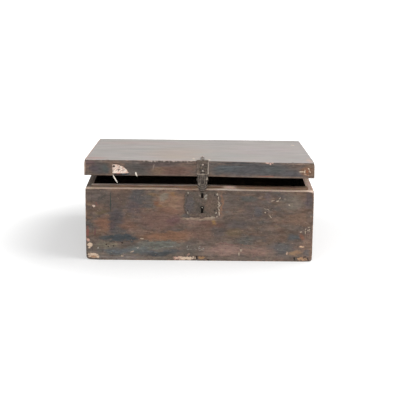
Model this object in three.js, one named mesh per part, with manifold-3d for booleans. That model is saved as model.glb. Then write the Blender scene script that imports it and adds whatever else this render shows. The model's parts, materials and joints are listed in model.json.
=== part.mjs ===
// An old painted wooden box with a framed lid, two rear hinges, and a hasp that drops into a surface lock.
// Millimetres, +Z up, front towards -Y. The origin is the centre of the underside. The lid stands ajar.
import * as THREE from "three";
import { mergeVertices } from "three/addons/utils/BufferGeometryUtils.js";
import Module from "manifold-3d";

const wasm = await Module();
wasm.setup();

// How far a cutting solid runs past the face it cuts, and a tongue runs into the plate it joins
const overcut = 1;
const joinOverlap = 1;

// Facets of round stretches, and the distance under which corners are one
const nailFacets = 8;
const holeFacets = 10;
const pinFacets = 12;
const barrelFacets = 16;
const weldDistance = 1e-4;

// Box boards
const boxWidth = 500;
const boxDepth = 400;
const boxHeight = 162;
const endThickness = 16;
const sideThickness = 14;
const bottomThickness = 10;
const bottomJointX = -5;
const bottomJointWidth = 2;
const woodGap = 0.3;
const boxTails = { count: 4, pinWidth: 16, flare: 2.7 };

// Lip strip behind the front board
const lipDepth = 14;
const lipAboveRim = 5;
const lipBelowRim = 8;
const lipHousing = 2;

// Lid
const lidAjar = THREE.MathUtils.degToRad(4.14);
const lidSideInset = 0.5;
const lidOverhang = 1.5;
const lidHeight = 34;
const lidTopThickness = 8;
const railThickness = 11;
const lidSeat = 0.3;
const railTails = { count: 1, pinWidth: 12, flare: 1.8 };

// Chip broken out of the lid's front rail
const chipLeft = -190;
const chipWidth = 36;
const chipDepth = 3.5;
const chipRightHeight = 6;
const chipBend = 0.7;

// Nails
const nailShankRadius = 1.2;
const nailClearance = 0.3;
const nailPointLength = 3;
const nailRimShare = 0.35;
const nailCrownShare = 0.62;
const boardNail = { length: 30, headRadius: 3, headHeight: 1.2, sunk: true };
const lidBrad = { length: 24, headRadius: 2, headHeight: 1, sunk: true };
const hingeNail = { length: 10, headRadius: 3.2, headHeight: 1.6, sunk: false };
const haspNail = { length: 9, headRadius: 2.6, headHeight: 1.7, sunk: false };
const strapNail = { length: 9, headRadius: 2.4, headHeight: 2.6, sunk: false };
const lockNail = { length: 11, headRadius: 2.2, headHeight: 0.8, sunk: false };
const boardNailInset = 22;
const lidBradInset = 48;
const sunkDepth = 0.2;

// Rear hinges
const hingeSpacing = 300;
const hingeStandOff = 4;
const hingeWidth = 40;
const hingeKnuckle = 13.6;
const hingeBarrelRadius = 3.5;
const hingePinRadius = 1.5;
const hingePinLip = 0.75;
const hingeLeafThickness = 1.8;
const hingeLowerLength = 42;
const hingeUpperLength = 27;
const hingeNailSpacing = 24;
const hingeNailInset = 10;
const turningGap = 0.4;
const pinClearance = 0.35;
const pinHeadLength = 1;

// Lock plate, with the staple slot and keyhole on the lock's centre line
const lockX = 5.5;
const lockPlateLeft = 39;
const lockPlateRight = 35;
const lockPlateDrop = 4.5;
const lockPlateHeight = 55;
const lockPlateThickness = 2;
const toothCount = 6;
const toothDepth = 2.4;
const toothMargin = 6;
const toothTipStart = 0.35;
const toothTipEnd = 0.65;
const plateCornerNotch = 3;
const plateCutWidth = 9;
const plateCutHeight = 12;
const lockNailInset = 7.5;
const slotWidth = 4.9;
const slotHeight = 11.2;
const slotDrop = 7.5;
const keyholeDrop = 40.2;
const keyholeRadius = 3.65;
const keySlotWidth = 5.5;
const keySlotLength = 12.7;

// Lock case and works
const caseWidth = 48;
const caseDepth = 12;
const caseWall = 1.2;
const caseAboveSlot = 2;
const caseBelowKeyhole = 3.5;
const mortiseClearance = 0.5;
const worksGap = 0.3;
const keyPostRadius = 1.5;
const keyPostRecess = 0.7;
const wardRadius = 6.5;
const wardThickness = 0.8;
const wardHeight = 3;
const wardStart = THREE.MathUtils.degToRad(-36);
const wardEnd = THREE.MathUtils.degToRad(216);
const boltThickness = 2.8;
const boltFingerHeight = 2.8;
const boltBodyLeft = 21;
const boltBodyRight = 10;
const boltTailRight = 13;
const boltTailHeight = 6.5;
const boltTailAboveKey = 9.7;
const boltHeadAboveFinger = 1.2;
const boltTipShy = 0.8;
const talonWidth = 7;
const talonDepth = 3.5;
const guideWidth = 3;
const leftGuideInset = 0.5;
const rightGuideInset = 1.5;
const guideWall = 0.9;
const guideClearance = 0.4;
const springThickness = 0.8;
const springWidth = 5;
const springLength = 8;
const springSideGap = 1;

// Hasp
const haspWidth = 26.4;
const haspAxisAboveEdge = 6.1;
const haspBarrelRadius = 2.2;
const haspPinRadius = 0.8;
const haspPinLip = 0.64;
const haspKnuckle = 9.8;
const haspPlateThickness = 1.5;
const haspLeafThickness = 1.8;
const haspLeafLength = 38.9;
const haspPlateGap = 0.4;
const haspNailHeights = [11.8, 25.4];
const strapLength = 56;
const strapWidth = 8;
const strapRoot = 3;
const strapShoulder = 12;
const strapNailInset = 10;
const stapleThickness = 3;
const stapleHeight = 8;
const stapleRise = 0.6;
const stapleReach = 10;
const stapleEyeSize = 4;
const stapleEnd = 2.3;
const stapleTang = 5;
const stapleChamfer = 2;
const stapleRivet = 0.4;

// The hasp leaf's outline from its shoulders down, as shares of its half width and of its length
const leafShoulder = [1, 0.12];
const leafUpperWaist = [0.81, 0.21];
const leafLobeTop = [0.95, 0.31];
const leafLobeBottom = [0.95, 0.39];
const leafLowerWaist = [0.79, 0.48];
const leafShell = [0.85, 0.6];
const leafShellFullness = 0.86;
const leafShellTip = 0.3;

// Places worked out from the sizes
const frontY = -boxDepth / 2;
const backY = boxDepth / 2;
const wallBottom = bottomThickness + woodGap;
const sideInnerX = boxWidth / 2 - sideThickness;
const lidWidth = boxWidth - 2 * lidSideInset;
const railHeight = lidHeight - lidTopThickness - woodGap;
const hingeY = backY + hingeStandOff;
const lidFront = frontY - lidOverhang - hingeY;
const lidBack = -hingeStandOff;
const lidTopZ = lidSeat + lidHeight;
const plateFrontY = frontY - lockPlateThickness;
const plateTop = boxHeight - lockPlateDrop;
const plateBottom = plateTop - lockPlateHeight;
const slotTop = boxHeight - slotDrop;
const slotZ = slotTop - slotHeight / 2;
const keyholeZ = boxHeight - keyholeDrop;
const caseTop = slotTop + caseAboveSlot;
const caseBottom = keyholeZ - keySlotLength - caseBelowKeyhole;
const caseFrontY = frontY + woodGap;
const caseBackY = caseFrontY + caseDepth;
const caseFloorY = caseBackY - caseWall - worksGap;
const haspY = lidFront - woodGap - haspBarrelRadius;
const haspZ = lidSeat + haspAxisAboveEdge;
const leafBack = plateFrontY - haspPlateGap - hingeY - haspY;
const eyeZ = slotZ + stapleRise;
const stapleZ = eyeZ - boxHeight - haspZ;
const eyeY = leafBack + stapleReach - stapleEnd - stapleEyeSize / 2;
const boltY = eyeY + haspY + hingeY;
const boltTailBottom = keyholeZ + boltTailAboveKey;
const boltTop = eyeZ + boltFingerHeight / 2 + boltHeadAboveFinger;

// Colours and finishes
const paintedWood = new THREE.MeshStandardMaterial({ color: 0x64574f, roughness: 0.62, metalness: 0 });
const innerWood = new THREE.MeshStandardMaterial({ color: 0x4a3d34, roughness: 0.75, metalness: 0 });
const lidWood = new THREE.MeshStandardMaterial({ color: 0x8f857e, roughness: 0.5, metalness: 0 });
const bareWood = new THREE.MeshStandardMaterial({ color: 0xa98a70, roughness: 0.8, metalness: 0 });
const iron = new THREE.MeshStandardMaterial({ color: 0x57504a, roughness: 0.55, metalness: 0.7 });
const brightIron = new THREE.MeshStandardMaterial({ color: 0x8d8780, roughness: 0.4, metalness: 0.8 });

// Axes that turn a drawn outline into a side view, a front view or a plan
const unitX = new THREE.Vector3(1, 0, 0);
const unitY = new THREE.Vector3(0, 1, 0);
const unitZ = new THREE.Vector3(0, 0, 1);
const sideView = new THREE.Matrix4().makeBasis(unitY, unitZ, unitX);
const frontView = new THREE.Matrix4().makeBasis(unitX, unitZ, unitY.clone().negate());

function solidOf(geometry) {
  const bare = geometry.clone();
  bare.deleteAttribute("normal");
  bare.deleteAttribute("uv");
  const merged = mergeVertices(bare, weldDistance);
  const vertProperties = merged.attributes.position.array;
  const triVerts = Uint32Array.from(merged.index.array);
  return new wasm.Manifold(new wasm.Mesh({ numProp: 3, vertProperties, triVerts }));
}

function meshOf(name, solid, material) {
  const { vertProperties, triVerts } = solid.getMesh();
  const geometry = new THREE.BufferGeometry();
  geometry.setAttribute("position", new THREE.BufferAttribute(vertProperties, 3));
  geometry.setIndex(new THREE.BufferAttribute(triVerts, 1));
  geometry.computeVertexNormals();
  const mesh = new THREE.Mesh(geometry, material);
  mesh.name = name;
  return mesh;
}

function block(x0, x1, y0, y1, z0, z1) {
  const geometry = new THREE.BoxGeometry(x1 - x0, y1 - y0, z1 - z0);
  geometry.translate((x0 + x1) / 2, (y0 + y1) / 2, (z0 + z1) / 2);
  return solidOf(geometry);
}

function extrude(shape, depth, curveSegments = 6) {
  return new THREE.ExtrudeGeometry(shape, { depth, bevelEnabled: false, curveSegments });
}

// A side-view outline (y, z) carried along X
function alongX(shape, x0, x1, curveSegments) {
  return solidOf(extrude(shape, x1 - x0, curveSegments).applyMatrix4(sideView).translate(x0, 0, 0));
}

// A front-view outline (x, z) carried along Y
function alongY(shape, y0, y1, curveSegments) {
  return solidOf(extrude(shape, y1 - y0, curveSegments).applyMatrix4(frontView).translate(0, y1, 0));
}

// A plan outline (x, y) carried up Z
function alongZ(shape, z0, z1, curveSegments) {
  return solidOf(extrude(shape, z1 - z0, curveSegments).translate(0, 0, z0));
}

function polygon(points) {
  return new THREE.Shape(points.map(([x, y]) => new THREE.Vector2(x, y)));
}

function rod(radius, x0, x1, segments) {
  const geometry = new THREE.CylinderGeometry(radius, radius, x1 - x0, segments);
  return solidOf(geometry.rotateZ(Math.PI / 2).translate((x0 + x1) / 2, 0, 0));
}

// Nails: the shank runs along -Y from the head's seat at the origin
const nailTurns = {
  back: new THREE.Euler(0, 0, 0),
  front: new THREE.Euler(Math.PI, 0, 0),
  up: new THREE.Euler(Math.PI / 2, 0, 0),
  down: new THREE.Euler(-Math.PI / 2, 0, 0),
};

function nailGeometry({ length, headRadius, headHeight, sunk }) {
  const rim = sunk ? headHeight : headHeight * nailRimShare;
  const crown = sunk ? headRadius : headRadius * nailCrownShare;
  const profile = [
    [0, -length],
    [nailShankRadius, -length + nailPointLength],
    [nailShankRadius, 0],
    [headRadius, 0],
    [headRadius, rim],
    [crown, headHeight],
    [0, headHeight],
  ];
  if (sunk) profile.splice(5, 1);
  return new THREE.LatheGeometry(profile.map(([x, y]) => new THREE.Vector2(x, y)), nailFacets);
}

function nailMesh(name, nail) {
  const mesh = meshOf(name, solidOf(nailGeometry(nail.kind)), iron);
  mesh.position.set(...nail.at);
  mesh.rotation.copy(nailTurns[nail.head]);
  return mesh;
}

// The hole that a nail needs: its shank with clearance and, where the head is sunk, the head's seat
function nailHole(nail) {
  const radius = nailShankRadius + nailClearance;
  const { length, headRadius, headHeight, sunk } = nail.kind;
  const shank = new THREE.CylinderGeometry(radius, radius, length + overcut, holeFacets);
  shank.translate(0, (overcut - length) / 2 - nailClearance, 0);
  let hole = solidOf(shank);
  if (sunk) {
    const seatRadius = headRadius + nailClearance;
    const seat = new THREE.CylinderGeometry(seatRadius, seatRadius, headHeight + 2 * overcut, holeFacets);
    hole = hole.add(solidOf(seat.translate(0, headHeight / 2 + overcut - nailClearance, 0)));
  }
  const matrix = new THREE.Matrix4().makeRotationFromEuler(nailTurns[nail.head]);
  matrix.setPosition(...nail.at);
  return hole.transform(matrix.elements);
}

function drilled(solid, nails) {
  return nails.reduce((rest, nail) => rest.subtract(nailHole(nail)), solid);
}

// Dovetails: tails on the side boards run through the end boards
function tailCentres(z0, z1, { count }) {
  const pitch = (z1 - z0) / count;
  return Array.from({ length: count }, (_, i) => z0 + (i + 0.5) * pitch);
}

function tailHalf(z0, z1, { count, pinWidth }) {
  return ((z1 - z0) / count - pinWidth) / 2;
}

function tailedBoard({ x0, x1, front, back, end, z0, z1, tails }) {
  const half = tailHalf(z0, z1, tails);
  const rootFront = front + end + woodGap;
  const rootBack = back - end - woodGap;
  const centres = tailCentres(z0, z1, tails);
  const points = [[rootFront, z0]];
  points.push([rootBack, z0]);
  for (const z of centres) {
    points.push([rootBack, z - half], [back, z - half - tails.flare]);
    points.push([back, z + half + tails.flare], [rootBack, z + half]);
  }
  points.push([rootBack, z1], [rootFront, z1]);
  for (const z of centres.slice().reverse()) {
    points.push([rootFront, z + half], [front, z + half + tails.flare]);
    points.push([front, z - half - tails.flare], [rootFront, z - half]);
  }
  return alongX(polygon(points), x0, x1);
}

// Cuts the sockets for the tails of both side boards out of an end board
function socketed(board, { face, inward, end, halfWidth, side, z0, z1, tails }) {
  const half = tailHalf(z0, z1, tails) + woodGap;
  const slope = tails.flare / (end + woodGap);
  const outer = face - inward * overcut;
  const inner = face + inward * (end + overcut);
  const outerHalf = half + tails.flare + slope * overcut;
  const innerHalf = half - slope * (overcut - woodGap);
  let result = board;
  for (const z of tailCentres(z0, z1, tails)) {
    const outline = polygon([
      [outer, z - outerHalf],
      [inner, z - innerHalf],
      [inner, z + innerHalf],
      [outer, z + outerHalf],
    ]);
    const left = alongX(outline, -halfWidth - overcut, -halfWidth + side + woodGap);
    const right = alongX(outline, halfWidth - side - woodGap, halfWidth + overcut);
    result = result.subtract(left).subtract(right);
  }
  return result;
}

// Places of the nails
const bottomNails = [];
for (const y of [frontY + endThickness / 2, backY - endThickness / 2]) {
  for (const x of [
    -boxWidth / 2 + boardNailInset,
    bottomJointX - boardNailInset,
    bottomJointX + boardNailInset,
    boxWidth / 2 - boardNailInset,
  ]) {
    bottomNails.push({ kind: boardNail, at: [x, y, boardNail.headHeight + sunkDepth], head: "down" });
  }
}
const lidBrads = [];
for (const y of [lidFront + railThickness / 2, lidBack - railThickness / 2]) {
  for (const x of [-lidWidth / 2 + lidBradInset, lidWidth / 2 - lidBradInset]) {
    lidBrads.push({ kind: lidBrad, at: [x, y, lidTopZ - lidBrad.headHeight - sunkDepth], head: "up" });
  }
}
const lockNails = [];
for (const x of [lockX - lockPlateLeft + lockNailInset, lockX + lockPlateRight - lockNailInset]) {
  for (const z of [plateBottom + lockNailInset + plateCutHeight / 2, plateTop - lockNailInset]) {
    lockNails.push({ kind: lockNail, at: [x, plateFrontY - woodGap, z], head: "front" });
  }
}
const haspPlateFront = lidFront - woodGap - haspPlateThickness;
const haspNails = haspNailHeights.map((z) => ({
  kind: haspNail,
  at: [lockX, haspPlateFront - woodGap, lidSeat + z],
  head: "front",
}));
const strapTop = lidTopZ + woodGap + haspPlateThickness;
const strapNails = [strapNailInset, strapLength - strapNailInset].map((distance) => ({
  kind: strapNail,
  at: [lockX, lidFront + distance, strapTop + woodGap],
  head: "up",
}));

function hingeNails(hingeX, leafOuterY, z) {
  return [-hingeNailSpacing / 2, hingeNailSpacing / 2].map((x) => ({
    kind: hingeNail,
    at: [hingeX + x, leafOuterY + woodGap, z],
    head: "back",
  }));
}

const hinges = [-hingeSpacing / 2, hingeSpacing / 2].map((x) => {
  const outerY = -hingeStandOff + woodGap + hingeLeafThickness;
  return {
    x,
    lowerNails: hingeNails(x, outerY + hingeY, boxHeight - hingeLowerLength + hingeNailInset),
    upperNails: hingeNails(x, outerY, hingeUpperLength - hingeNailInset),
  };
});

// Box boards
function bottomBoard(name, x0, x1) {
  const board = block(x0, x1, frontY, backY, 0, bottomThickness);
  return meshOf(name, drilled(board, bottomNails), bareWood);
}

function endBoard(face, inward) {
  const faces = [face, face + inward * endThickness];
  const board = block(-boxWidth / 2, boxWidth / 2, Math.min(...faces), Math.max(...faces), wallBottom, boxHeight);
  const joined = socketed(board, {
    face,
    inward,
    end: endThickness,
    halfWidth: boxWidth / 2,
    side: sideThickness,
    z0: wallBottom,
    z1: boxHeight,
    tails: boxTails,
  });
  return drilled(joined, bottomNails);
}

function frontBoard() {
  const mortise = block(
    lockX - caseWidth / 2 - mortiseClearance,
    lockX + caseWidth / 2 + mortiseClearance,
    frontY - overcut,
    caseBackY + mortiseClearance,
    caseBottom - mortiseClearance,
    caseTop + mortiseClearance,
  );
  return meshOf("front_board", drilled(endBoard(frontY, 1).subtract(mortise), lockNails), paintedWood);
}

function backBoard() {
  const nails = hinges.flatMap((hinge) => hinge.lowerNails);
  return meshOf("back_board", drilled(endBoard(backY, -1), nails), paintedWood);
}

const lipFrontY = frontY + endThickness + woodGap;
const lipEndX = sideInnerX + lipHousing;
const lipBottom = boxHeight - lipBelowRim;

function sideBoard(name, side) {
  const faces = [side * sideInnerX, (side * boxWidth) / 2];
  const board = tailedBoard({
    x0: Math.min(...faces),
    x1: Math.max(...faces),
    front: frontY,
    back: backY,
    end: endThickness,
    z0: wallBottom,
    z1: boxHeight,
    tails: boxTails,
  });
  const housingEnd = lipEndX + woodGap;
  const housing = block(
    -housingEnd,
    housingEnd,
    frontY + endThickness,
    lipFrontY + lipDepth + woodGap,
    lipBottom - woodGap,
    boxHeight + overcut,
  );
  return meshOf(name, board.subtract(housing), paintedWood);
}

function frontLip() {
  const lip = block(-lipEndX, lipEndX, lipFrontY, lipFrontY + lipDepth, lipBottom, boxHeight + lipAboveRim);
  return meshOf("front_lip", lip, innerWood);
}

// Lid boards, seen from the rear hinges' axis with the lid shut
function endRail(face, inward) {
  const faces = [face, face + inward * railThickness];
  const z1 = lidSeat + railHeight;
  const board = block(-lidWidth / 2, lidWidth / 2, Math.min(...faces), Math.max(...faces), lidSeat, z1);
  return socketed(board, {
    face,
    inward,
    end: railThickness,
    halfWidth: lidWidth / 2,
    side: railThickness,
    z0: lidSeat,
    z1,
    tails: railTails,
  });
}

function chip() {
  const outline = new THREE.Shape();
  const bottom = lidSeat - overcut;
  const top = lidSeat + railHeight - woodGap;
  outline.moveTo(chipLeft, bottom);
  outline.lineTo(chipLeft + chipWidth, bottom);
  outline.lineTo(chipLeft + chipWidth, lidSeat + chipRightHeight);
  outline.quadraticCurveTo(chipLeft + chipWidth * chipBend, top, chipLeft, top);
  outline.closePath();
  return alongY(outline, lidFront - overcut, lidFront + chipDepth, 5);
}

function frontRail() {
  const rail = endRail(lidFront, 1).subtract(chip());
  return meshOf("lid_front_rail", drilled(rail, [...haspNails, ...lidBrads]), paintedWood);
}

function backRail() {
  const nails = hinges.flatMap((hinge) => hinge.upperNails);
  return meshOf("lid_back_rail", drilled(endRail(lidBack, -1), [...nails, ...lidBrads]), paintedWood);
}

function sideRail(name, side) {
  const faces = [side * (lidWidth / 2 - railThickness), (side * lidWidth) / 2];
  const rail = tailedBoard({
    x0: Math.min(...faces),
    x1: Math.max(...faces),
    front: lidFront,
    back: lidBack,
    end: railThickness,
    z0: lidSeat,
    z1: lidSeat + railHeight,
    tails: railTails,
  });
  return meshOf(name, rail, paintedWood);
}

function lidTop() {
  const board = block(-lidWidth / 2, lidWidth / 2, lidFront, lidBack, lidTopZ - lidTopThickness, lidTopZ);
  return meshOf("lid_top", drilled(board, [...lidBrads, ...haspNails, ...strapNails]), lidWood);
}

// A hinge barrel stretch with its bore, and the tongue that joins it to a leaf
function knuckle({ x0, x1, radius, bore, tongue }) {
  const [y0, y1, z0, z1] = tongue;
  const ring = rod(radius, x0, x1, barrelFacets).add(block(x0, x1, y0, y1, z0, z1));
  return ring.subtract(rod(bore, x0 - overcut, x1 + overcut, pinFacets));
}

// Rear hinges: the lower leaf has the outer knuckles, the upper leaf the middle one
const hingeBore = hingePinRadius + pinClearance;
const hingeLeafY = [-hingeStandOff + woodGap, -hingeStandOff + woodGap + hingeLeafThickness];
const hingeLeafStart = hingeBarrelRadius + turningGap;

function lowerLeaf(name, hinge) {
  const [y0, y1] = hingeLeafY;
  let leaf = block(-hingeWidth / 2, hingeWidth / 2, y0, y1, -hingeLowerLength, -hingeLeafStart);
  for (const side of [-1, 1]) {
    const ends = [side * (hingeKnuckle / 2 + turningGap), (side * hingeWidth) / 2];
    leaf = leaf.add(knuckle({
      x0: Math.min(...ends),
      x1: Math.max(...ends),
      radius: hingeBarrelRadius,
      bore: hingeBore,
      tongue: [y0, y1, -hingeLeafStart - joinOverlap, 0],
    }));
  }
  const placed = drilled(leaf.translate([hinge.x, hingeY, boxHeight]), hinge.lowerNails);
  return meshOf(name, placed, iron);
}

function upperLeaf(name, hinge) {
  const [y0, y1] = hingeLeafY;
  const plate = block(-hingeWidth / 2, hingeWidth / 2, y0, y1, hingeLeafStart, hingeUpperLength);
  const leaf = plate.add(knuckle({
    x0: -hingeKnuckle / 2,
    x1: hingeKnuckle / 2,
    radius: hingeBarrelRadius,
    bore: hingeBore,
    tongue: [y0, y1, 0, hingeLeafStart + joinOverlap],
  }));
  return meshOf(name, drilled(leaf.translate([hinge.x, 0, 0]), hinge.upperNails), iron);
}

// A pin whose peened ends stand just outside the barrel
function pinSolid(radius, width, headRadius) {
  const half = width / 2 + woodGap;
  const end = half + pinHeadLength;
  const pin = rod(radius, -end, end, pinFacets);
  return pin.add(rod(headRadius, -end, -half, pinFacets)).add(rod(headRadius, half, end, pinFacets));
}

function hingePin(name, hinge) {
  const mesh = meshOf(name, pinSolid(hingePinRadius, hingeWidth, hingePinRadius + hingePinLip), iron);
  mesh.position.set(hinge.x, hingeY, boxHeight);
  return mesh;
}

// Lock plate: toothed sides, notched top corners and a lower left corner cut away
function toothedSide(edgeX, inward, z0, z1) {
  const pitch = (z1 - z0) / toothCount;
  const points = [];
  for (let i = 0; i < toothCount; i += 1) {
    points.push([edgeX + inward * toothDepth, z0 + i * pitch]);
    points.push([edgeX, z0 + (i + toothTipStart) * pitch]);
    points.push([edgeX, z0 + (i + toothTipEnd) * pitch]);
  }
  points.push([edgeX + inward * toothDepth, z1]);
  return points;
}

function lockPlateOutline() {
  const left = lockX - lockPlateLeft;
  const right = lockX + lockPlateRight;
  const notch = plateCornerNotch;
  const teethTop = plateTop - toothMargin;
  const leftTeeth = toothedSide(left, 1, plateBottom + plateCutHeight, teethTop);
  const rightTeeth = toothedSide(right, -1, plateBottom + toothMargin, teethTop);
  const outline = polygon([
    [left + plateCutWidth, plateBottom],
    [right - toothDepth, plateBottom],
    ...rightTeeth,
    [right - toothDepth, plateTop - notch],
    [right - toothDepth - notch, plateTop],
    [left + toothDepth + notch, plateTop],
    [left + toothDepth, plateTop - notch],
    ...leftTeeth.reverse(),
  ]);
  return outline;
}

function stapleSlot() {
  return new THREE.Path([
    new THREE.Vector2(lockX - slotWidth / 2, slotZ - slotHeight / 2),
    new THREE.Vector2(lockX - slotWidth / 2, slotZ + slotHeight / 2),
    new THREE.Vector2(lockX + slotWidth / 2, slotZ + slotHeight / 2),
    new THREE.Vector2(lockX + slotWidth / 2, slotZ - slotHeight / 2),
  ]);
}

function keyhole() {
  const hole = new THREE.Path();
  const spread = Math.asin(keySlotWidth / 2 / keyholeRadius);
  const start = -Math.PI / 2 + spread;
  hole.absarc(lockX, keyholeZ, keyholeRadius, start, start + 2 * Math.PI - 2 * spread, false);
  hole.lineTo(lockX - keySlotWidth / 2, keyholeZ - keySlotLength);
  hole.lineTo(lockX + keySlotWidth / 2, keyholeZ - keySlotLength);
  hole.closePath();
  return hole;
}

function lockPlate() {
  const outline = lockPlateOutline();
  outline.holes.push(stapleSlot(), keyhole());
  const plate = alongY(outline, plateFrontY, frontY, 16);
  return meshOf("lock_plate", drilled(plate, lockNails), iron);
}

// Lock case: a shallow iron tray, open towards the plate
function lockCase() {
  const half = caseWidth / 2;
  const shell = block(lockX - half, lockX + half, caseFrontY, caseBackY, caseBottom, caseTop);
  const hollow = block(
    lockX - half + caseWall,
    lockX + half - caseWall,
    caseFrontY - overcut,
    caseBackY - caseWall,
    caseBottom + caseWall,
    caseTop - caseWall,
  );
  return meshOf("lock_case", shell.subtract(hollow), iron);
}

// Bolt: a body with a finger at the slot, and a tail whose notch the key turns in
function lockBolt() {
  const left = lockX - boltBodyLeft;
  const bodyRight = lockX - boltBodyRight;
  const tip = lockX - slotWidth / 2 - boltTipShy;
  const tailTop = boltTailBottom + boltTailHeight;
  const fingerTop = eyeZ + boltFingerHeight / 2;
  const outline = polygon([
    [left, boltTailBottom],
    [lockX - talonWidth / 2, boltTailBottom],
    [lockX - talonWidth / 2, boltTailBottom + talonDepth],
    [lockX + talonWidth / 2, boltTailBottom + talonDepth],
    [lockX + talonWidth / 2, boltTailBottom],
    [lockX + boltTailRight, boltTailBottom],
    [lockX + boltTailRight, tailTop],
    [bodyRight, tailTop],
    [bodyRight, fingerTop - boltFingerHeight],
    [tip, fingerTop - boltFingerHeight],
    [tip, fingerTop],
    [bodyRight, fingerTop],
    [bodyRight, boltTop],
    [left, boltTop],
  ]);
  return meshOf("lock_bolt", alongY(outline, boltY - boltThickness / 2, boltY + boltThickness / 2), brightIron);
}

// A guide bridges the bolt and stands on the case's back
function boltGuide(name, x0, z0, z1) {
  const gapFront = boltY - boltThickness / 2 - guideClearance;
  const front = gapFront - guideWall;
  const inner = guideClearance;
  const outer = guideClearance + guideWall;
  const outline = polygon([
    [front, z0 - outer],
    [caseFloorY, z0 - outer],
    [caseFloorY, z0 - inner],
    [gapFront, z0 - inner],
    [gapFront, z1 + inner],
    [caseFloorY, z1 + inner],
    [caseFloorY, z1 + outer],
    [front, z1 + outer],
  ]);
  return meshOf(name, alongX(outline, x0, x0 + guideWidth), iron);
}

const leftGuideX = lockX - boltBodyRight - guideWidth - leftGuideInset;
const rightGuideX = lockX + boltTailRight - guideWidth - rightGuideInset;

// A bent strip held under the case's top, bearing on the bolt's body
function boltSpring() {
  const left = leftGuideX - springLength - springSideGap;
  const right = left + springLength;
  const middle = (left + right) / 2;
  const top = caseTop - caseWall - worksGap;
  const bottom = top - springThickness;
  const bend = bottom - boltTop - worksGap;
  const outline = new THREE.Shape();
  outline.moveTo(left, top);
  outline.lineTo(left, bottom);
  outline.quadraticCurveTo(middle, bottom - 2 * bend, right, bottom);
  outline.lineTo(right, top);
  outline.quadraticCurveTo(middle, top - 2 * bend, left, top);
  return meshOf("bolt_spring", alongY(outline, boltY - boltThickness / 2, boltY + springWidth / 2, 8), brightIron);
}

function keyPost() {
  const tip = plateFrontY + keyPostRecess;
  const geometry = new THREE.CylinderGeometry(keyPostRadius, keyPostRadius, caseFloorY - tip, pinFacets);
  return meshOf("key_post", solidOf(geometry.translate(lockX, (caseFloorY + tip) / 2, keyholeZ)), brightIron);
}

// A curved fence on the case's back, open below for the key's bit
function lockWard() {
  const outline = new THREE.Shape();
  outline.absarc(lockX, keyholeZ, wardRadius, wardStart, wardEnd, false);
  outline.absarc(lockX, keyholeZ, wardRadius - wardThickness, wardEnd, wardStart, true);
  outline.closePath();
  return meshOf("lock_ward", alongY(outline, caseFloorY - wardHeight, caseFloorY, 10), iron);
}

// Hasp plate: on the lid's front, bent over its top edge into a narrow strap
const haspBore = haspPinRadius + pinClearance;
const haspLeafStart = haspBarrelRadius + turningGap;

function strapOutline() {
  const half = haspWidth / 2;
  const strap = strapWidth / 2;
  const root = lidFront + strapRoot;
  const outline = new THREE.Shape();
  outline.moveTo(lockX - half, haspPlateFront);
  outline.lineTo(lockX + half, haspPlateFront);
  outline.lineTo(lockX + half, root);
  outline.quadraticCurveTo(lockX + strap, root, lockX + strap, root + strapShoulder);
  outline.lineTo(lockX + strap, lidFront + strapLength - strapWidth);
  outline.lineTo(lockX, lidFront + strapLength);
  outline.lineTo(lockX - strap, lidFront + strapLength - strapWidth);
  outline.lineTo(lockX - strap, root + strapShoulder);
  outline.quadraticCurveTo(lockX - strap, root, lockX - half, root);
  outline.closePath();
  return outline;
}

function haspPlate() {
  const half = haspWidth / 2;
  const back = lidFront - woodGap;
  const tongue = [haspPlateFront - haspY, back - haspY, 0, haspLeafStart + joinOverlap];
  let knuckles = null;
  for (const side of [-1, 1]) {
    const ends = [side * (haspKnuckle / 2 + turningGap), side * half];
    const part = knuckle({
      x0: Math.min(...ends),
      x1: Math.max(...ends),
      radius: haspBarrelRadius,
      bore: haspBore,
      tongue,
    }).translate([lockX, haspY, haspZ]);
    knuckles = knuckles ? knuckles.add(part) : part;
  }
  const bottom = haspZ + haspLeafStart;
  const plate = block(lockX - half, lockX + half, haspPlateFront, back, bottom, strapTop);
  const strap = alongZ(strapOutline(), lidTopZ + woodGap, strapTop);
  const solid = drilled(plate.add(strap).add(knuckles), [...haspNails, ...strapNails]);
  return meshOf("hasp_plate", solid, iron);
}

function haspPin() {
  const mesh = meshOf("hasp_pin", pinSolid(haspPinRadius, haspWidth, haspPinRadius + haspPinLip), iron);
  mesh.position.set(lockX, haspY, haspZ);
  return mesh;
}

// Hasp leaf: waisted sides above a shell-shaped end
function leafOutline() {
  const half = haspWidth / 2;
  const shares = [leafShoulder, leafUpperWaist, leafLobeTop, leafLobeBottom, leafLowerWaist, leafShell];
  const side = [[half, -haspLeafStart], ...shares.map(([x, z]) => [half * x, -haspLeafLength * z])];
  const [shellX, shellZ] = side.at(-1);
  const fullZ = -haspLeafLength * leafShellFullness;
  const tipX = half * leafShellTip;
  const outline = new THREE.Shape();
  outline.moveTo(0, -haspLeafStart);
  for (const [x, z] of side) outline.lineTo(-x, z);
  outline.bezierCurveTo(-shellX, fullZ, -tipX, -haspLeafLength, 0, -haspLeafLength);
  outline.bezierCurveTo(tipX, -haspLeafLength, shellX, fullZ, shellX, shellZ);
  for (const [x, z] of side.slice(0, -1).reverse()) outline.lineTo(x, z);
  outline.closePath();
  return outline;
}

function haspLeaf() {
  const front = leafBack - haspLeafThickness;
  const plate = alongY(leafOutline(), front, leafBack, 8);
  const barrel = knuckle({
    x0: -haspKnuckle / 2,
    x1: haspKnuckle / 2,
    radius: haspBarrelRadius,
    bore: haspBore,
    tongue: [front, leafBack, -haspLeafStart - joinOverlap, 0],
  });
  const hole = block(
    -stapleThickness / 2 - woodGap,
    stapleThickness / 2 + woodGap,
    front - overcut,
    leafBack + overcut,
    stapleZ - stapleTang / 2 - woodGap,
    stapleZ + stapleTang / 2 + woodGap,
  );
  return meshOf("hasp_leaf", plate.add(barrel).subtract(hole), iron);
}

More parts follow.
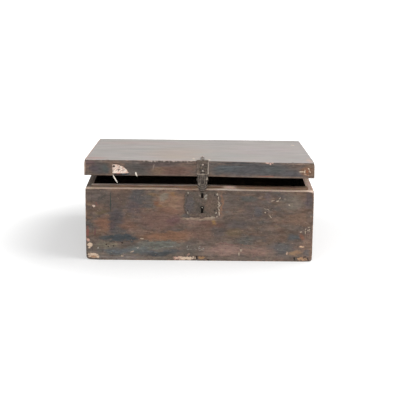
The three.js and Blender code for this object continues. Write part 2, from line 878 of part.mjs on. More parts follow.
// Staple: a plate on edge with an eye for the bolt, and a tang through the leaf
function haspStaple() {
  const half = stapleHeight / 2;
  const y0 = leafBack + woodGap;
  const y1 = leafBack + stapleReach;
  const tangEnd = leafBack - haspLeafThickness - stapleRivet;
  const outline = polygon([
    [y0, stapleZ - half],
    [y1 - stapleChamfer, stapleZ - half],
    [y1, stapleZ - half + stapleChamfer],
    [y1, stapleZ + half - stapleChamfer],
    [y1 - stapleChamfer, stapleZ + half],
    [y0, stapleZ + half],
    [y0, stapleZ + stapleTang / 2],
    [tangEnd, stapleZ + stapleTang / 2],
    [tangEnd, stapleZ - stapleTang / 2],
    [y0, stapleZ - stapleTang / 2],
  ]);
  const eye = stapleEyeSize / 2;
  outline.holes.push(new THREE.Path([
    new THREE.Vector2(eyeY - eye, stapleZ - eye),
    new THREE.Vector2(eyeY - eye, stapleZ + eye),
    new THREE.Vector2(eyeY + eye, stapleZ + eye),
    new THREE.Vector2(eyeY + eye, stapleZ - eye),
  ]));
  return meshOf("hasp_staple", alongX(outline, -stapleThickness / 2, stapleThickness / 2), iron);
}

function namedNails(prefix, nails) {
  return nails.map((nail, i) => nailMesh(`${prefix}_${i + 1}`, nail));
}

// Assembly
const box = new THREE.Group();
box.add(
  bottomBoard("bottom_board_left", -boxWidth / 2, bottomJointX - bottomJointWidth / 2),
  bottomBoard("bottom_board_right", bottomJointX + bottomJointWidth / 2, boxWidth / 2),
  frontBoard(),
  backBoard(),
  sideBoard("left_side_board", -1),
  sideBoard("right_side_board", 1),
  frontLip(),
  ...namedNails("bottom_nail", bottomNails),
);

const lock = new THREE.Group();
lock.add(
  lockPlate(),
  lockCase(),
  lockBolt(),
  boltGuide("bolt_guide_left", leftGuideX, boltTailBottom, boltTop),
  boltGuide("bolt_guide_right", rightGuideX, boltTailBottom, boltTailBottom + boltTailHeight),
  boltSpring(),
  keyPost(),
  lockWard(),
  ...namedNails("lock_nail", lockNails),
);

const hasp = new THREE.Group();
hasp.position.set(lockX, haspY, haspZ);
hasp.add(haspLeaf(), haspStaple());

const lid = new THREE.Group();
lid.position.set(0, hingeY, boxHeight);
lid.rotation.x = -lidAjar;
lid.add(
  lidTop(),
  frontRail(),
  backRail(),
  sideRail("lid_left_rail", -1),
  sideRail("lid_right_rail", 1),
  ...namedNails("lid_brad", lidBrads),
  haspPlate(),
  haspPin(),
  ...namedNails("hasp_nail", haspNails),
  ...namedNails("strap_nail", strapNails),
  hasp,
);

["left", "right"].forEach((side, i) => {
  const hinge = hinges[i];
  box.add(
    lowerLeaf(`hinge_lower_leaf_${side}`, hinge),
    hingePin(`hinge_pin_${side}`, hinge),
    ...namedNails(`hinge_lower_nail_${side}`, hinge.lowerNails),
  );
  lid.add(
    upperLeaf(`hinge_upper_leaf_${side}`, hinge),
    ...namedNails(`hinge_upper_nail_${side}`, hinge.upperNails),
  );
});

const woodenBox = new THREE.Group();
woodenBox.add(box, lock, lid);
export default woodenBox;
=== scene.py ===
"""An old painted wooden box with its lid ajar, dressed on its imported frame.

Blender works in metres. Sizes here are millimetres, which MM turns into metres. The box's own pieces are
shaped in the row frame, and the lid's pieces in the shut lid's frame, whose origin is the rear hinges' axis.
"""

import json
import math
import random
from collections import namedtuple

import bmesh
import bpy
import numpy as np
from mathutils import Matrix, Vector, noise


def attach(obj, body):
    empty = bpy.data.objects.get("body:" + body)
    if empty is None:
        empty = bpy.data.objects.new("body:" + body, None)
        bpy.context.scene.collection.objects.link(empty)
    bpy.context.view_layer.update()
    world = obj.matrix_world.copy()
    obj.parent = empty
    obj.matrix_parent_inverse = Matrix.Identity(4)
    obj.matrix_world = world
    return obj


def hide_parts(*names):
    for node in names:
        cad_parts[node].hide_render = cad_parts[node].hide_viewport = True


MM = 0.001
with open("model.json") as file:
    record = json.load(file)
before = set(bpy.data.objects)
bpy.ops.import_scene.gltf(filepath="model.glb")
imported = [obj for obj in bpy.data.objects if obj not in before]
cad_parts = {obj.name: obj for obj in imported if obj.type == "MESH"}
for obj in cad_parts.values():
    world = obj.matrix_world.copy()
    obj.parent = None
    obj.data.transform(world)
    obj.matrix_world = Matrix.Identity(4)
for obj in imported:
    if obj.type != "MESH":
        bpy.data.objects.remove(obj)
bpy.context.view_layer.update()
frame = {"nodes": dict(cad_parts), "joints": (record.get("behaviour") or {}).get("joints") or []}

# The photograph's camera
FOCAL_LENGTH = 102.085
SENSOR_WIDTH = 36
CAMERA_AT = (-6.89, -2608.54, 728.36)
CAMERA_PITCH = math.radians(13.76)
CAMERA_YAW = math.radians(-0.18)
CAMERA_ROLL = math.radians(0.61)

# The lid's place, from its hinge
LID_HINGE = next(joint for joint in frame["joints"] if joint["name"] == "lid_hinge")
LID_AJAR = math.radians(-LID_HINGE["range_deg"][0])
LID_PLACE = Matrix.Translation(LID_HINGE["pos_m"]) @ Matrix.Rotation(-LID_AJAR, 4, "X")
PLACES = {"box": Matrix.Identity(4), "bolt": Matrix.Identity(4), "lid": LID_PLACE, "hasp": LID_PLACE}


def box_of(nodes, body):
    """Lowest and highest corner of some CAD nodes in their body's frame, in millimetres."""
    turn = PLACES[body].inverted()
    places = [turn @ v.co for name in nodes for v in frame["nodes"][name].data.vertices]
    array = np.array(places) / MM
    return array.min(axis=0), array.max(axis=0)


def middle_of(node, body):
    low, high = box_of([node], body)
    return [float(a + b) / 2 for a, b in zip(low, high)]


WALLS = ["front_board", "back_board", "left_side_board", "right_side_board"]
BOTTOMS = ["bottom_board_left", "bottom_board_right"]
RAILS = ["lid_front_rail", "lid_back_rail", "lid_left_rail", "lid_right_rail"]
BOX_HULL = box_of(WALLS + BOTTOMS, "box")
LID_HULL = box_of(RAILS + ["lid_top"], "lid")
BOX_FRONT = BOX_HULL[0][1]
RIM = BOX_HULL[1][2]
LID_FRONT = LID_HULL[0][1]
LID_TOP = LID_HULL[1][2]
LOCK_X = middle_of("key_post", "box")[0]
BARREL_Z = middle_of("hasp_pin", "lid")[2]

# The hasp leaf's chased lines: straight beside its middle, and round about a centre this far below the barrel
CHASE_DROP = 20
CHASED_LINES = (3, 6.8, 10.6)
CHASE_WIDTH = 0.55
CHASE_DEPTH = 0.35


# Shader building


# Patches are areas of another tone, and marks are sharp-edged flakes, scratches and stains. Both lie on one
# face of a board: across and up are their middle's place on it, and turn is in degrees from across to up.
Patch = namedtuple("Patch", "colour across up half_width half_height strength turn", defaults=(1, 0))

# The directions across and up on each kind of face
X, Y, Z = (Vector(axis) for axis in ((1, 0, 0), (0, 1, 0), (0, 0, 1)))
FACES = {"front": (X, Z), "side": (Y, Z), "top": (X, Y)}

# A patch, a mark and a zone of chips set in between these distances, where 1 is the outline
PATCH_EDGE = (1.35, 0.4)
MARK_EDGE = (1.08, 0.82)
ZONE_EDGE = (1.3, 0.35)


def rgb(code):
    """A linear colour from a hexadecimal one as the eye sees it."""
    values = [int(code[i : i + 2], 16) / 255 for i in (1, 3, 5)]
    return [v / 12.92 if v <= 0.04045 else ((v + 0.055) / 1.055) ** 2.4 for v in values] + [1]


def add_node(tree, kind, inputs=None, **settings):
    """A node whose inputs are linked to sockets or set to colour codes and other values."""
    made = tree.nodes.new(kind)
    for key, value in settings.items():
        setattr(made, key, value)
    for key, value in (inputs or {}).items():
        if isinstance(value, bpy.types.NodeSocket):
            tree.links.new(value, made.inputs[key])
        else:
            made.inputs[key].default_value = rgb(value) if isinstance(value, str) else value
    return made


class Shader:
    """One material's nodes. Its coordinates are the piece's own, in millimetres.

    The colour is built up in layers. lost is the mask of where paint is gone.
    """

    def __init__(self, name, roughness=0.6, metallic=0, shine=0.5):
        self.material = bpy.data.materials.new(name)
        self.material.use_nodes = True
        self.tree = self.material.node_tree
        self.surface = self.tree.nodes["Principled BSDF"]
        for key, value in {"Roughness": roughness, "Metallic": metallic, "Specular IOR Level": shine}.items():
            self.surface.inputs[key].default_value = value
        self.colour = None
        self.lost = None
        source = self.node("ShaderNodeTexCoord").outputs["Object"]
        self.place = self.node("ShaderNodeVectorMath", {0: source, 3: 1 / MM}, operation="SCALE").outputs[0]
        self.x, self.y, self.z = self.node("ShaderNodeSeparateXYZ", {0: self.place}).outputs

    def node(self, kind, inputs=None, **settings):
        return add_node(self.tree, kind, inputs, **settings)

    def math(self, operation, *values):
        return self.node("ShaderNodeMath", dict(enumerate(values)), operation=operation).outputs[0]

    def times(self, first, second):
        return self.math("MULTIPLY", first, second)

    def minus(self, first, second):
        return self.math("SUBTRACT", first, second)

    def scaled(self, value, by, plus):
        return self.math("MULTIPLY_ADD", value, by, plus)

    def vector(self, operation, first, second=(0, 0, 0), output=0):
        made = self.node("ShaderNodeVectorMath", {0: first, 1: second}, operation=operation)
        return made.outputs[output]

    def smooth(self, value, low, high):
        """0 at low and 1 at high, whichever is larger."""
        settings = {"interpolation_type": "SMOOTHSTEP", "clamp": False}
        return self.node("ShaderNodeMapRange", {0: value, 1: low, 2: high}, **settings).outputs[0]

    def mix(self, share, first, second, blend="MIX"):
        inputs = {0: share, 6: first, 7: second}
        return self.node("ShaderNodeMix", inputs, data_type="RGBA", blend_type=blend).outputs[2]

    def lay(self, upper, share, strength=1):
        """Lays another colour over the colour, by a share times a strength."""
        if strength < 1:
            share = self.times(share, strength)
        self.colour = self.mix(share, self.colour, upper)

    def lose(self, share):
        self.lost = share if self.lost is None else self.math("MAXIMUM", self.lost, share)

    def tint(self, share, size):
        """Lays clouds of other hues and levels softly over the colour."""
        self.colour = self.mix(share, self.colour, self.noise(size, 5, 0.7).outputs[1], "OVERLAY")

    def level(self, share, size):
        """Lays darker and lighter clouds softly over the colour."""
        clouds = self.clouds(0.28, 0.72, size, 4, 0.7)
        self.colour = self.mix(share, self.colour, clouds, "OVERLAY")

    def noise(self, size, detail=3, roughness=0.55):
        """Cloudy values about 0.5. The size of a cloud is in millimetres, one for all axes or three."""
        sizes = size if isinstance(size, tuple) else (size, size, size)
        inputs = {"Vector": self.vector("DIVIDE", self.place, sizes), "Scale": 1, "Detail": detail}
        return self.node("ShaderNodeTexNoise", {**inputs, "Roughness": roughness})

    def cloud(self, size, detail=3, roughness=0.55):
        return self.noise(size, detail, roughness).outputs[0]

    def clouds(self, low, high, *look):
        """A mask of clouds: 0 where their value is low and 1 where it is high."""
        return self.smooth(self.cloud(*look), low, high)

    def ragged(self, size, reach, detail=3):
        """The place, moved about by up to reach in clouds of that size, so that outlines come out ragged."""
        shift = self.vector("SUBTRACT", self.noise(size, detail, 0.68).outputs[1], (0.5, 0.5, 0.5))
        return self.vector("ADD", self.place, self.vector("MULTIPLY", shift, (reach, reach, reach)))

    def spot(self, place, face, patch):
        """Distance from a patch's middle, 1 at its outline."""
        across, up = FACES[face]
        offset = self.vector("SUBTRACT", place, across * patch.across + up * patch.up)
        turn = math.radians(patch.turn)
        squares = 0
        for angle, half in ((turn, patch.half_width), (turn + math.pi / 2, patch.half_height)):
            direction = (across * math.cos(angle) + up * math.sin(angle)) / half
            part = self.vector("DOT_PRODUCT", offset, direction, 1)
            squares = self.scaled(part, part, squares)
        return self.math("SQRT", squares)

    def finish(self, height, depth, roughness=None):
        self.tree.links.new(self.colour, self.surface.inputs["Base Color"])
        if roughness is not None:
            self.tree.links.new(roughness, self.surface.inputs["Roughness"])
        bump = self.node("ShaderNodeBump", {"Strength": 1, "Distance": depth * MM, "Height": height})
        self.tree.links.new(bump.outputs[0], self.surface.inputs["Normal"])
        return self.material


def lay_patches(shader, face, patches, place):
    for patch in patches:
        shader.lay(patch.colour, shader.smooth(shader.spot(place, face, patch), *PATCH_EDGE), patch.strength)


def lay_marks(shader, face, marks, place):
    """Lays marks over the colour. Those of one colour share a mask."""
    for code in dict.fromkeys(mark.colour for mark in marks):
        nearest = None
        for mark in marks:
            if mark.colour == code:
                distance = shader.spot(place, face, mark)
                nearest = distance if nearest is None else shader.math("MINIMUM", nearest, distance)
        share = shader.smooth(nearest, *MARK_EDGE)
        shader.lay(code, share)
        shader.lose(share)


def lay_chips(shader, face, zones):
    """Strews ragged flakes in zones: a few where the strength is 0.4, nearly without gaps where it is 1."""
    grains = shader.cloud((4.6, 4.6, 2.6), 4, 0.7)
    place = shader.ragged(7, 7, 3)
    for code in dict.fromkeys(zone.colour for zone in zones):
        density = 0
        for zone in zones:
            if zone.colour == code:
                share = shader.smooth(shader.spot(place, face, zone), *ZONE_EDGE)
                density = shader.math("MAXIMUM", density, shader.times(share, zone.strength))
        share = shader.smooth(shader.scaled(density, 0.5, grains), 0.77, 0.86)
        shader.lay(code, share)
        shader.lose(share)


def grouped(table):
    """Patches from a table of colours, each with the rows of its patches' other values."""
    return [Patch(code, *row) for code, rows in table.items() for row in rows]


def strewn(seed, codes, count, low, high, sizes, stretch=3):
    """Patches at random places between two corners of a face, each wider than high by up to stretch."""
    chance = random.Random(seed)
    patches = []
    for _ in range(count):
        size = chance.uniform(*sizes)
        across = chance.uniform(low[0], high[0])
        up = chance.uniform(low[1], high[1])
        width = size * chance.uniform(0.6, stretch)
        patches.append(Patch(chance.choice(codes), across, up, width, size, turn=chance.uniform(-25, 25)))
    return patches


def edge_distance(shader, hull):
    """Distance along the surface to the nearest edge of a boxy shape: the middle one of the three insets."""
    insets = []
    for value, a, b in zip((shader.x, shader.y, shader.z), *hull):
        offset = shader.math("ABSOLUTE", shader.minus(value, float(a + b) / 2))
        insets.append(shader.minus(float(b - a) / 2, offset))
    smaller = shader.math("MINIMUM", insets[0], insets[1])
    larger = shader.math("MAXIMUM", insets[0], insets[1])
    return shader.math("MAXIMUM", smaller, shader.math("MINIMUM", larger, insets[2]))


# Painted wood


PAINT = "#62534b"
PAINT_WARM = "#72594a"
PAINT_COOL = "#54504f"
BARE_WOOD = "#b89a83"
BARE_PALE = "#d9c3ae"
WOOD_SHINE = 0.28


def along(grain, long, short):
    """Sizes on x, y and z: long along the grain and short across it."""
    return tuple(long if axis == grain else short for axis in "xyz")


def paint_tones(shader, grain):
    """Old paint: grey brown, warmer and cooler in clouds drawn out along the grain."""
    long = along(grain, 80, 24)
    shader.colour = shader.mix(shader.clouds(0.42, 0.62, long, 5, 0.62), PAINT, PAINT_WARM)
    cool = shader.clouds(0.5, 0.64, tuple(0.7 * s + 7 for s in long), 5, 0.62)
    shader.lay(PAINT_COOL, cool, 0.85)
    blotch = shader.clouds(0.3, 0.72, along(grain, 13, 7), 5, 0.7)
    darker = shader.mix(0.2, shader.colour, "#000000")
    shader.colour = shader.mix(blotch, darker, shader.mix(0.1, shader.colour, BARE_PALE))


def grain_height(shader, grain):
    """Fine ridges along the grain."""
    return shader.cloud(along(grain, 30, 0.9), 3, 0.6)


def bare_tones(shader, grain, dark, pale):
    return shader.mix(shader.clouds(0.35, 0.65, along(grain, 24, 1.6), 4, 0.6), dark, pale)


def wear_mask(shader, hull, reach, top_reach):
    """1 where paint is rubbed off along the edges. The upper edges can wear less than the others."""
    top = float(hull[1][2])
    ragged = shader.minus(shader.cloud(9, 4, 0.7), 0.47)
    near_top = shader.smooth(shader.z, top - 6, top - 2)
    broken = shader.times(ragged, shader.scaled(near_top, top_reach - reach, reach))
    return shader.smooth(shader.minus(edge_distance(shader, hull), broken), 1, 0.2)


def rub_bare(shader, wear, grain, dark, pale):
    """Shows bare wood where the wear mask is 1. Returns the surface's height."""
    shader.lay(bare_tones(shader, grain, dark, pale), wear)
    shader.lose(wear)
    return shader.minus(grain_height(shader, grain), shader.lost)


def painted_wood(name, hull, grain, face, patches, marks, reach=9, top_reach=2, chips=()):
    """An outer face of painted boards: tones, placed patches, chips and marks, and worn edges."""
    shader = Shader(name, shine=WOOD_SHINE)
    paint_tones(shader, grain)
    lay_patches(shader, face, patches, shader.ragged((34, 26, 17), 34, 6))
    shader.tint(0.13, 8)
    shader.level(0.15, along(grain, 44, 9))
    shader.level(0.27, along(grain, 12, 3.6))
    speck = shader.clouds(0.67, 0.74, 3, 2, 0.5)
    shader.lay(BARE_WOOD, speck, 0.4)
    shader.lose(speck)
    shader.lay("#2e2723", shader.clouds(0.36, 0.3, 3.6, 2, 0.6), 0.5)
    lay_chips(shader, face, chips)
    lay_marks(shader, face, marks, shader.ragged(3.5, 4.2))
    height = rub_bare(shader, wear_mask(shader, hull, reach, top_reach), grain, "#8d7260", "#c0a18a")
    rough = shader.scaled(shader.cloud(14), 0.3, 0.38)
    return shader.finish(height, 0.22, shader.scaled(shader.lost, 0.2, rough))


# The box front. Its first three patches are wide and lighten the lower part of the front: painted light,
# standing in for light bounced up from the floor. The rest are read from left to right.
FRONT_PATCHES = [Patch(*row) for row in (
    ("#7a6b61", 0, 20, 300, 28, 0.6), ("#7f7468", -140, 12, 110, 18, 0.6),
    ("#82736a", 120, 16, 110, 16, 0.4), ("#665a54", -221.9, 143.4, 32.4, 17.7, 0.8),
    ("#514b46", -214.2, 142.6, 13.6, 2.8, 0.8, 38), ("#5f4f47", -174.2, 138.6, 20.4, 21.3, 0.9),
    ("#554b46", -194, 130, 16, 9, 0.7), ("#55504f", -138.4, 139.9, 21.3, 14.5, 1, -20),
    ("#4d4643", -132.4, 155.9, 13.6, 3.5, 0.8), ("#5a534d", -109.4, 141.1, 10.2, 13.3, 0.7),
    ("#8a6d59", -66.8, 134.5, 34.9, 29.3), ("#846a50", -103.5, 150.9, 12.8, 4.6, 0.8, -12),
    ("#82786b", -78.8, 144.1, 11.1, 10.3, 0.8), ("#95704f", -57.5, 150.6, 6.8, 6, 0.8),
    ("#836757", -43, 125.9, 10.2, 21.3, 0.8), ("#7c5642", -95.8, 128.8, 6.1, 7.1, 0.9, -40),
    ("#8d6c48", -86.4, 121.9, 8.5, 3.5, 0.8), ("#6c5c46", -213.4, 111.6, 14.5, 6, 0.7),
    ("#7e5b49", -209.1, 83.2, 20.4, 17.7, 0.9), ("#514a4b", -181, 97.7, 17, 24.8, 0.9),
    ("#4e484b", -192.9, 74.5, 9.4, 13.3, 0.7), ("#5c4f51", -143.5, 119.4, 18.7, 16, 0.6),
    ("#765b51", -89, 91.7, 52.8, 23.1, 0.9), ("#77594b", -157.2, 78.5, 20.4, 11.7, 0.8),
    ("#856c5f", -138, 68, 26, 7, 0.8), ("#6f5152", -55.8, 92, 17, 11.7, 0.6),
    ("#7b5a4b", -66.8, 113.2, 29, 5.7, 0.7, -12), ("#87644f", -72, 56.4, 63, 12.1),
    ("#45494c", -175.9, 50.8, 41.7, 7.5), ("#474b4c", -205, 49.4, 17, 6.4, 0.8),
    ("#40464a", -145.2, 48.5, 9.4, 4.3, 0.8), ("#7b7263", -203.2, 33.6, 29, 9.2, 0.9),
    ("#5a514c", -157.2, 35.9, 21.3, 8.9, 0.8), ("#626668", -176, 21.4, 44, 7.6, 0.9),
    ("#6a6f6d", -132, 24, 24, 9, 0.8), ("#6b6961", -90, 35.8, 50, 10.3, 1, 2),
    ("#4c5053", -84, 18, 50, 7.6, 0.9, 2), ("#877c77", -172, 6, 58, 5, 0.8),
    ("#625a53", -20.8, 26.8, 20.4, 17.7, 0.8), ("#90938c", -68.5, 31.6, 16.2, 1.1, 0.7, 2),
    ("#878a82", -109.4, 27.6, 22.2, 0.9, 0.6, 6), ("#7e8078", -78.8, 40.3, 34.1, 0.9, 0.5, 2),
    ("#747a7e", -184.4, 24.1, 18.7, 0.9, 0.6, -3), ("#9a7a62", -78.8, 46, 57.9, 0.9, 0.7),
    ("#6e767a", -100.9, 21.5, 25.6, 0.7, 0.5, 4), ("#453d38", -32.4, 129.5, 1.5, 26.6, 0.7),
    ("#a38d7b", -15, 96, 24, 4.6), ("#85685b", -18, 86, 28, 8, 0.7), ("#62564f", 72, 137, 26, 22, 0.7),
    ("#5e5c57", 106.4, 143.5, 18.7, 8.9, 0.8), ("#645752", 118.3, 116, 23.9, 23.1, 0.8),
    ("#5c5a5b", 130.2, 113.6, 8.5, 11.4, 0.7), ("#655a5d", 149, 147.5, 7.5, 11.4, 0.6, 20),
    ("#73685e", 200.1, 133.9, 29, 21.3, 0.9), ("#63595b", 238.4, 141.4, 9.2, 19.5, 0.8),
    ("#7d6454", 217.1, 98.6, 28.1, 13.5, 0.9), ("#775a4f", 24.6, 84, 32.4, 10.6, 0.9),
    ("#7f6254", 8, 62, 40, 15, 0.6), ("#94724a", 31.4, 89.4, 6.8, 7.5, 0.9),
    ("#5c5350", 84.2, 82.9, 32.4, 11.7, 0.8), ("#75624d", 74, 63.3, 20.4, 8.5, 0.8),
    ("#564e4b", 41.6, 64.7, 12.8, 14.9, 0.7), ("#63615b", 101.2, 45.9, 22.2, 10.3, 0.7),
    ("#6d5d54", 145.6, 67.6, 30.7, 16, 0.7), ("#565a5c", 206.9, 55, 11.9, 8.9, 0.8),
    ("#615f5e", 183, 30.8, 27.3, 16.9, 0.85), ("#967a6f", 54, 24.5, 44, 12, 0.9),
    ("#917468", 121.7, 23.4, 40.9, 8.9, 0.8), ("#77524c", 91, 35.5, 71.6, 1.1, 0.6),
    ("#8b7061", 238, 34, 15, 34, 0.7), ("#a08164", 212.9, 19.6, 17, 6.7, 0.9),
    ("#5f6062", 236, 19, 8, 8, 0.6), ("#7e5646", 223.1, 57.9, 4.8, 8.2, 0.9, 10),
    ("#8f6b55", 47.4, 130.4, 3.4, 30.2, 0.8), ("#a08a78", 12, 96, 25, 4.4, 0.9),
)]
FRONT_CHIPS = grouped({
    "#d3a796": [(-36, 5.6, 38, 6.4, 0.8), (-23.9, 14.3, 3.4, 5.3, 0.6), (-245.1, 46.1, 3.7, 4.3)],
    "#e6ccb4": [(-27, 5.8, 32, 6, 0.77)],
    "#e0c5ac": [
        (-241, 34.6, 7.2, 6.4), (-243.2, 27.5, 3.7, 2.8), (-233.8, 10.2, 16.4, 7.8, 0.92, -8),
        (-224.3, 6.8, 3.4, 3.9, 1, 40),
    ],
    "#d2b9aa": [(-232.1, 122.9, 3.4, 4.3)],
    "#b58d70": [(-233.5, 7.4, 10.2, 3.5, 0.8, -6)],
    "#83574f": [(-245.6, 66, 4.4, 21, 0.84)],
    "#85534c": [(-225.7, 127.4, 2.4, 6.4, 0.75, 20)],
    "#71474c": [(-229.6, 64.4, 2.2, 13.3, 0.66)],
    "#a59d95": [
        (-17.4, 29.5, 20.4, 15.1, 0.45), (-26.3, 152.3, 2.7, 5.3, 0.7), (-24.2, 111.9, 2.9, 7.5, 0.75, 20),
        (-135, 28.7, 3.4, 2.5, 0.9), (-223.6, 27.7, 2.7, 2.5, 0.9), (4.1, 27.9, 12.8, 8.9, 0.55),
        (183, 31.7, 23.9, 12.4, 0.42),
    ],
    "#ad8763": [(5, 7.2, 11.6, 5, 0.85, 8)],
    "#b99272": [(227.7, 6.1, 17.9, 5.3, 0.78)],
    "#c9ab95": [(194.1, 19.4, 2.7, 6, 0.85)],
    "#e4bd9b": [(226.5, 34.5, 7.2, 2.5, 1, 4)],
    "#b6a491": [
        (93.6, 24.5, 4.8, 5, 0.66), (88.5, 16.4, 2, 5.3, 0.8), (237.6, 72.2, 10.9, 12.4, 0.5),
        (244.7, 107.8, 3.7, 12.4, 0.5), (40.2, 130.3, 4.1, 29.3, 0.6), (32.2, 100.4, 11.9, 2.8, 0.7),
        (222.2, 68.5, 3.1, 2.5, 0.9),
    ],
})
FRONT_MARKS = grouped({
    "#120e0c": [(-5.2, 6, 1.9, 5)],
    "#2f2925": [
        (19.8, 2.4, 3.7, 1.6), (210.6, 7.2, 1.4, 4.3, 1, 10), (241, 5.7, 1.4, 4.6, 1, 20),
        (234.2, 11, 4.1, 0.9, 1, 10),
    ],
    "#3d443f": [(-195, 133.1, 1, 24.8)],
    "#3f302b": [
        (-204.9, 35.7, 2, 1.6), (-200.4, 30.8, 1.5, 1.4), (-189.5, 32.4, 2.2, 1.4), (-169.9, 39.3, 2.2, 2),
        (-213.4, 20.2, 2.7, 1.1),
    ],
    "#c6b09a": [(-147.8, 19.7, 5.1, 1.2, 1, 22), (-169.9, 9.5, 3.4, 1.4), (-126.5, 49.6, 4.4, 1.1, 1, -8)],
    "#b8a592": [
        (160, 138.4, 4.1, 0.9, 1, 5), (170.8, 137.8, 3.1, 1.4, 1, 20), (175.4, 143.9, 3.4, 0.9, 1, 48),
        (186.4, 142.6, 2.6, 0.7, 1, -10), (196.3, 128.9, 1.7, 1.6), (144.2, 119.8, 3.7, 0.7, 1, -8),
        (150.3, 118.1, 3.1, 0.7, 1, -30), (144.2, 111.6, 1.9, 1.8), (155.8, 102.5, 1, 5, 1, 42),
        (233.3, 67.7, 0.9, 4.6), (241, 79.3, 3.1, 0.9), (240, 72.2, 3.4, 0.9),
    ],
    "#c8b5a2": [
        (38.9, 151.6, 1, 3.5, 1, 25), (40.4, 142.4, 1, 4.6, 1, -14), (41.8, 133.2, 1, 3.7, 1, 38),
        (43.4, 126.5, 1, 3.7, 1, -32), (42, 117.6, 1, 3.7, 1, 34), (43.2, 109.1, 1.2, 5.5, 1, 4),
        (37.6, 102.6, 1.2, 3, 1, 20),
    ],
})
SIDE_CODES = ["#7d5d4a", "#4c5054", "#6d6858", "#5b4c4e", "#7a6a58", "#50463f"]
FLAKE_CODES = ["#c9b49d", "#b08a6c", "#2f2925"]
SIDE_PATCHES = strewn(4, SIDE_CODES, 16, (-190, 10), (190, 150), (6, 16))
SIDE_MARKS = strewn(5, FLAKE_CODES, 26, (-190, 6), (190, 154), (0.8, 2.2), 4)
BACK_PATCHES = strewn(6, SIDE_CODES, 18, (-240, 10), (240, 150), (6, 17))
BACK_MARKS = strewn(7, FLAKE_CODES, 28, (-240, 6), (240, 154), (0.8, 2.2), 4)

# The top of the front board, worn bare: pinkish left of the lock and brighter right of it. The lip's top
# behind it has a pale spot, and is greyer at its right.
RIM_PATCHES = [
    Patch("#c49a85", -28, BOX_FRONT + 8, 20, 20),
    Patch("#ead8ca", 60, BOX_FRONT + 8, 30, 20),
]
LIP_TOP_PATCHES = [
    Patch("#e0c6b3", 64, BOX_FRONT + 22, 16, 20),
    Patch("#b9ada3", 190, BOX_FRONT + 22, 70, 20),
]


def rim_wood(name, grain, dark, pale, patches=(), left_dark=False):
    """The worn top of a board. With left_dark, the left side board's top is darker and the right one's tan.
    """
    shader = Shader(name, 0.75, shine=WOOD_SHINE)
    shader.colour = bare_tones(shader, grain, dark, pale)
    lay_patches(shader, "top", patches, shader.ragged(9, 8))
    if left_dark:
        right = shader.smooth(shader.scaled(shader.cloud(16), 60, shader.x), -10, 50)
        shader.colour = shader.mix(right, bare_tones(shader, grain, "#6f6258", "#8d7d70"), shader.colour)
    shader.tint(0.5, 5)
    return shader.finish(grain_height(shader, grain), 0.25)


# The lid's front, from left to right, in the shut lid's frame
LID_FRONT_PATCHES = [Patch(*row) for row in (
    ("#4f4a48", -216, 16, 24, 14), ("#4c4e4b", -204, 14, 9, 12), ("#5f4747", -240, 29, 11, 6, 0.8),
    ("#51464a", -232, 16, 12, 10, 0.8), ("#4b4643", -128, 14, 32, 13, 0.9), ("#694f45", -60, 12, 50, 12),
    ("#75604c", -92, 12, 16, 7, 0.6), ("#5d4e4a", -90, 25, 40, 6), ("#4a3d39", -75, 31, 66, 2.4),
    ("#4f4d4e", 120, 16, 102, 17), ("#4d5153", 55, 17, 30, 8, 0.8), ("#535553", 160, 17, 26, 8, 0.7),
    ("#504e51", 205, 7, 34, 6, 0.8), ("#39383a", 75, 30.6, 66, 1.6, 0.9),
    ("#39383a", 185, 31.6, 38, 1.4, 0.9), ("#75604f", 238, 18, 16, 17, 0.8), ("#86624c", 232, 13, 13, 9),
)]
LID_FRONT_MARKS = grouped({
    # The first #2a2220 mark, a dark band along the rail's bottom under the chip, is painted shade; the red
    # and blue marks there are the paint's own colours.
    "#2a2220": [(-172, 3.4, 17, 3.2, 1, 2), (-186, 26, 2.6, 1.4)],
    "#6c7072": [(70, 22, 34, 0.6, 1, 2)],
    "#a1877a": [(206, 29.4, 36, 0.7, 1, -1)],
    "#b79a83": [(232, 6, 8, 1, 1, -12)],
    "#e6cfb4": [
        (221, 12.5, 7, 0.9, 1, 3), (228, 13, 0.9, 4.4), (236, 19, 1.2, 2.4, 1, 40), (239, 13, 1, 3, 1, 30),
    ],
    "#935b3c": [(232.4, 13, 1.8, 2.6), (234, 6, 3.4, 1)],
    "#d6ae9f": [(147, 32, 5, 2.6), (157, 32.4, 4, 2.2), (153, 28.6, 1.6, 2.2)],
    "#8a5a4c": [(145, 1.6, 18, 1)],
    "#8b7a70": [(-101, 20, 1.2, 7, 1, -14)],
    "#7c3f3c": [(-178, 4.6, 4, 1.4)],
    "#3f5b66": [(-166, 4, 4, 1.4), (-157, 4, 2, 1.2)],
})
LID_TOP_PATCHES = [Patch(*row) for row in (
    ("#8f7c76", -140, -90, 120, 40, 0.8), ("#8a8a80", -120, -20, 130, 16, 0.8),
    ("#948070", -40, -290, 80, 120, 0.75), ("#84827d", 60, -300, 100, 40, 0.6),
    ("#8f8280", 150, -200, 100, 90, 0.7), ("#946b60", -226, -374, 26, 22, 0.8),
    ("#73736f", 0, -4, 250, 5, 0.7), ("#a98a7b", 243, -370, 7, 34, 0.9),
)]
LID_TOP_MARKS = grouped({
    "#c9b8a6": [
        (20, -384, 3.4, 8, 1, -12), (-14, -372, 3, 9, 1, 10), (5, -335, 3, 7), (205, -170, 16, 1.6, 1, 14),
        (226, -100, 3, 10, 1, 20),
    ],
    "#5f5551": [(-110, -210, 60, 1.1, 1, 1)],
})
LID_SIDE_PATCHES = strewn(8, SIDE_CODES, 12, (-390, 4), (-14, 30), (4, 9), 5)
LID_SIDE_MARKS = strewn(9, ["#c9b49d", "#a98671", "#2f2925"], 18, (-395, 3), (-10, 31), (0.6, 1.4), 5)
LID_BACK_PATCHES = strewn(10, SIDE_CODES, 12, (-240, 4), (240, 30), (4, 9), 5)


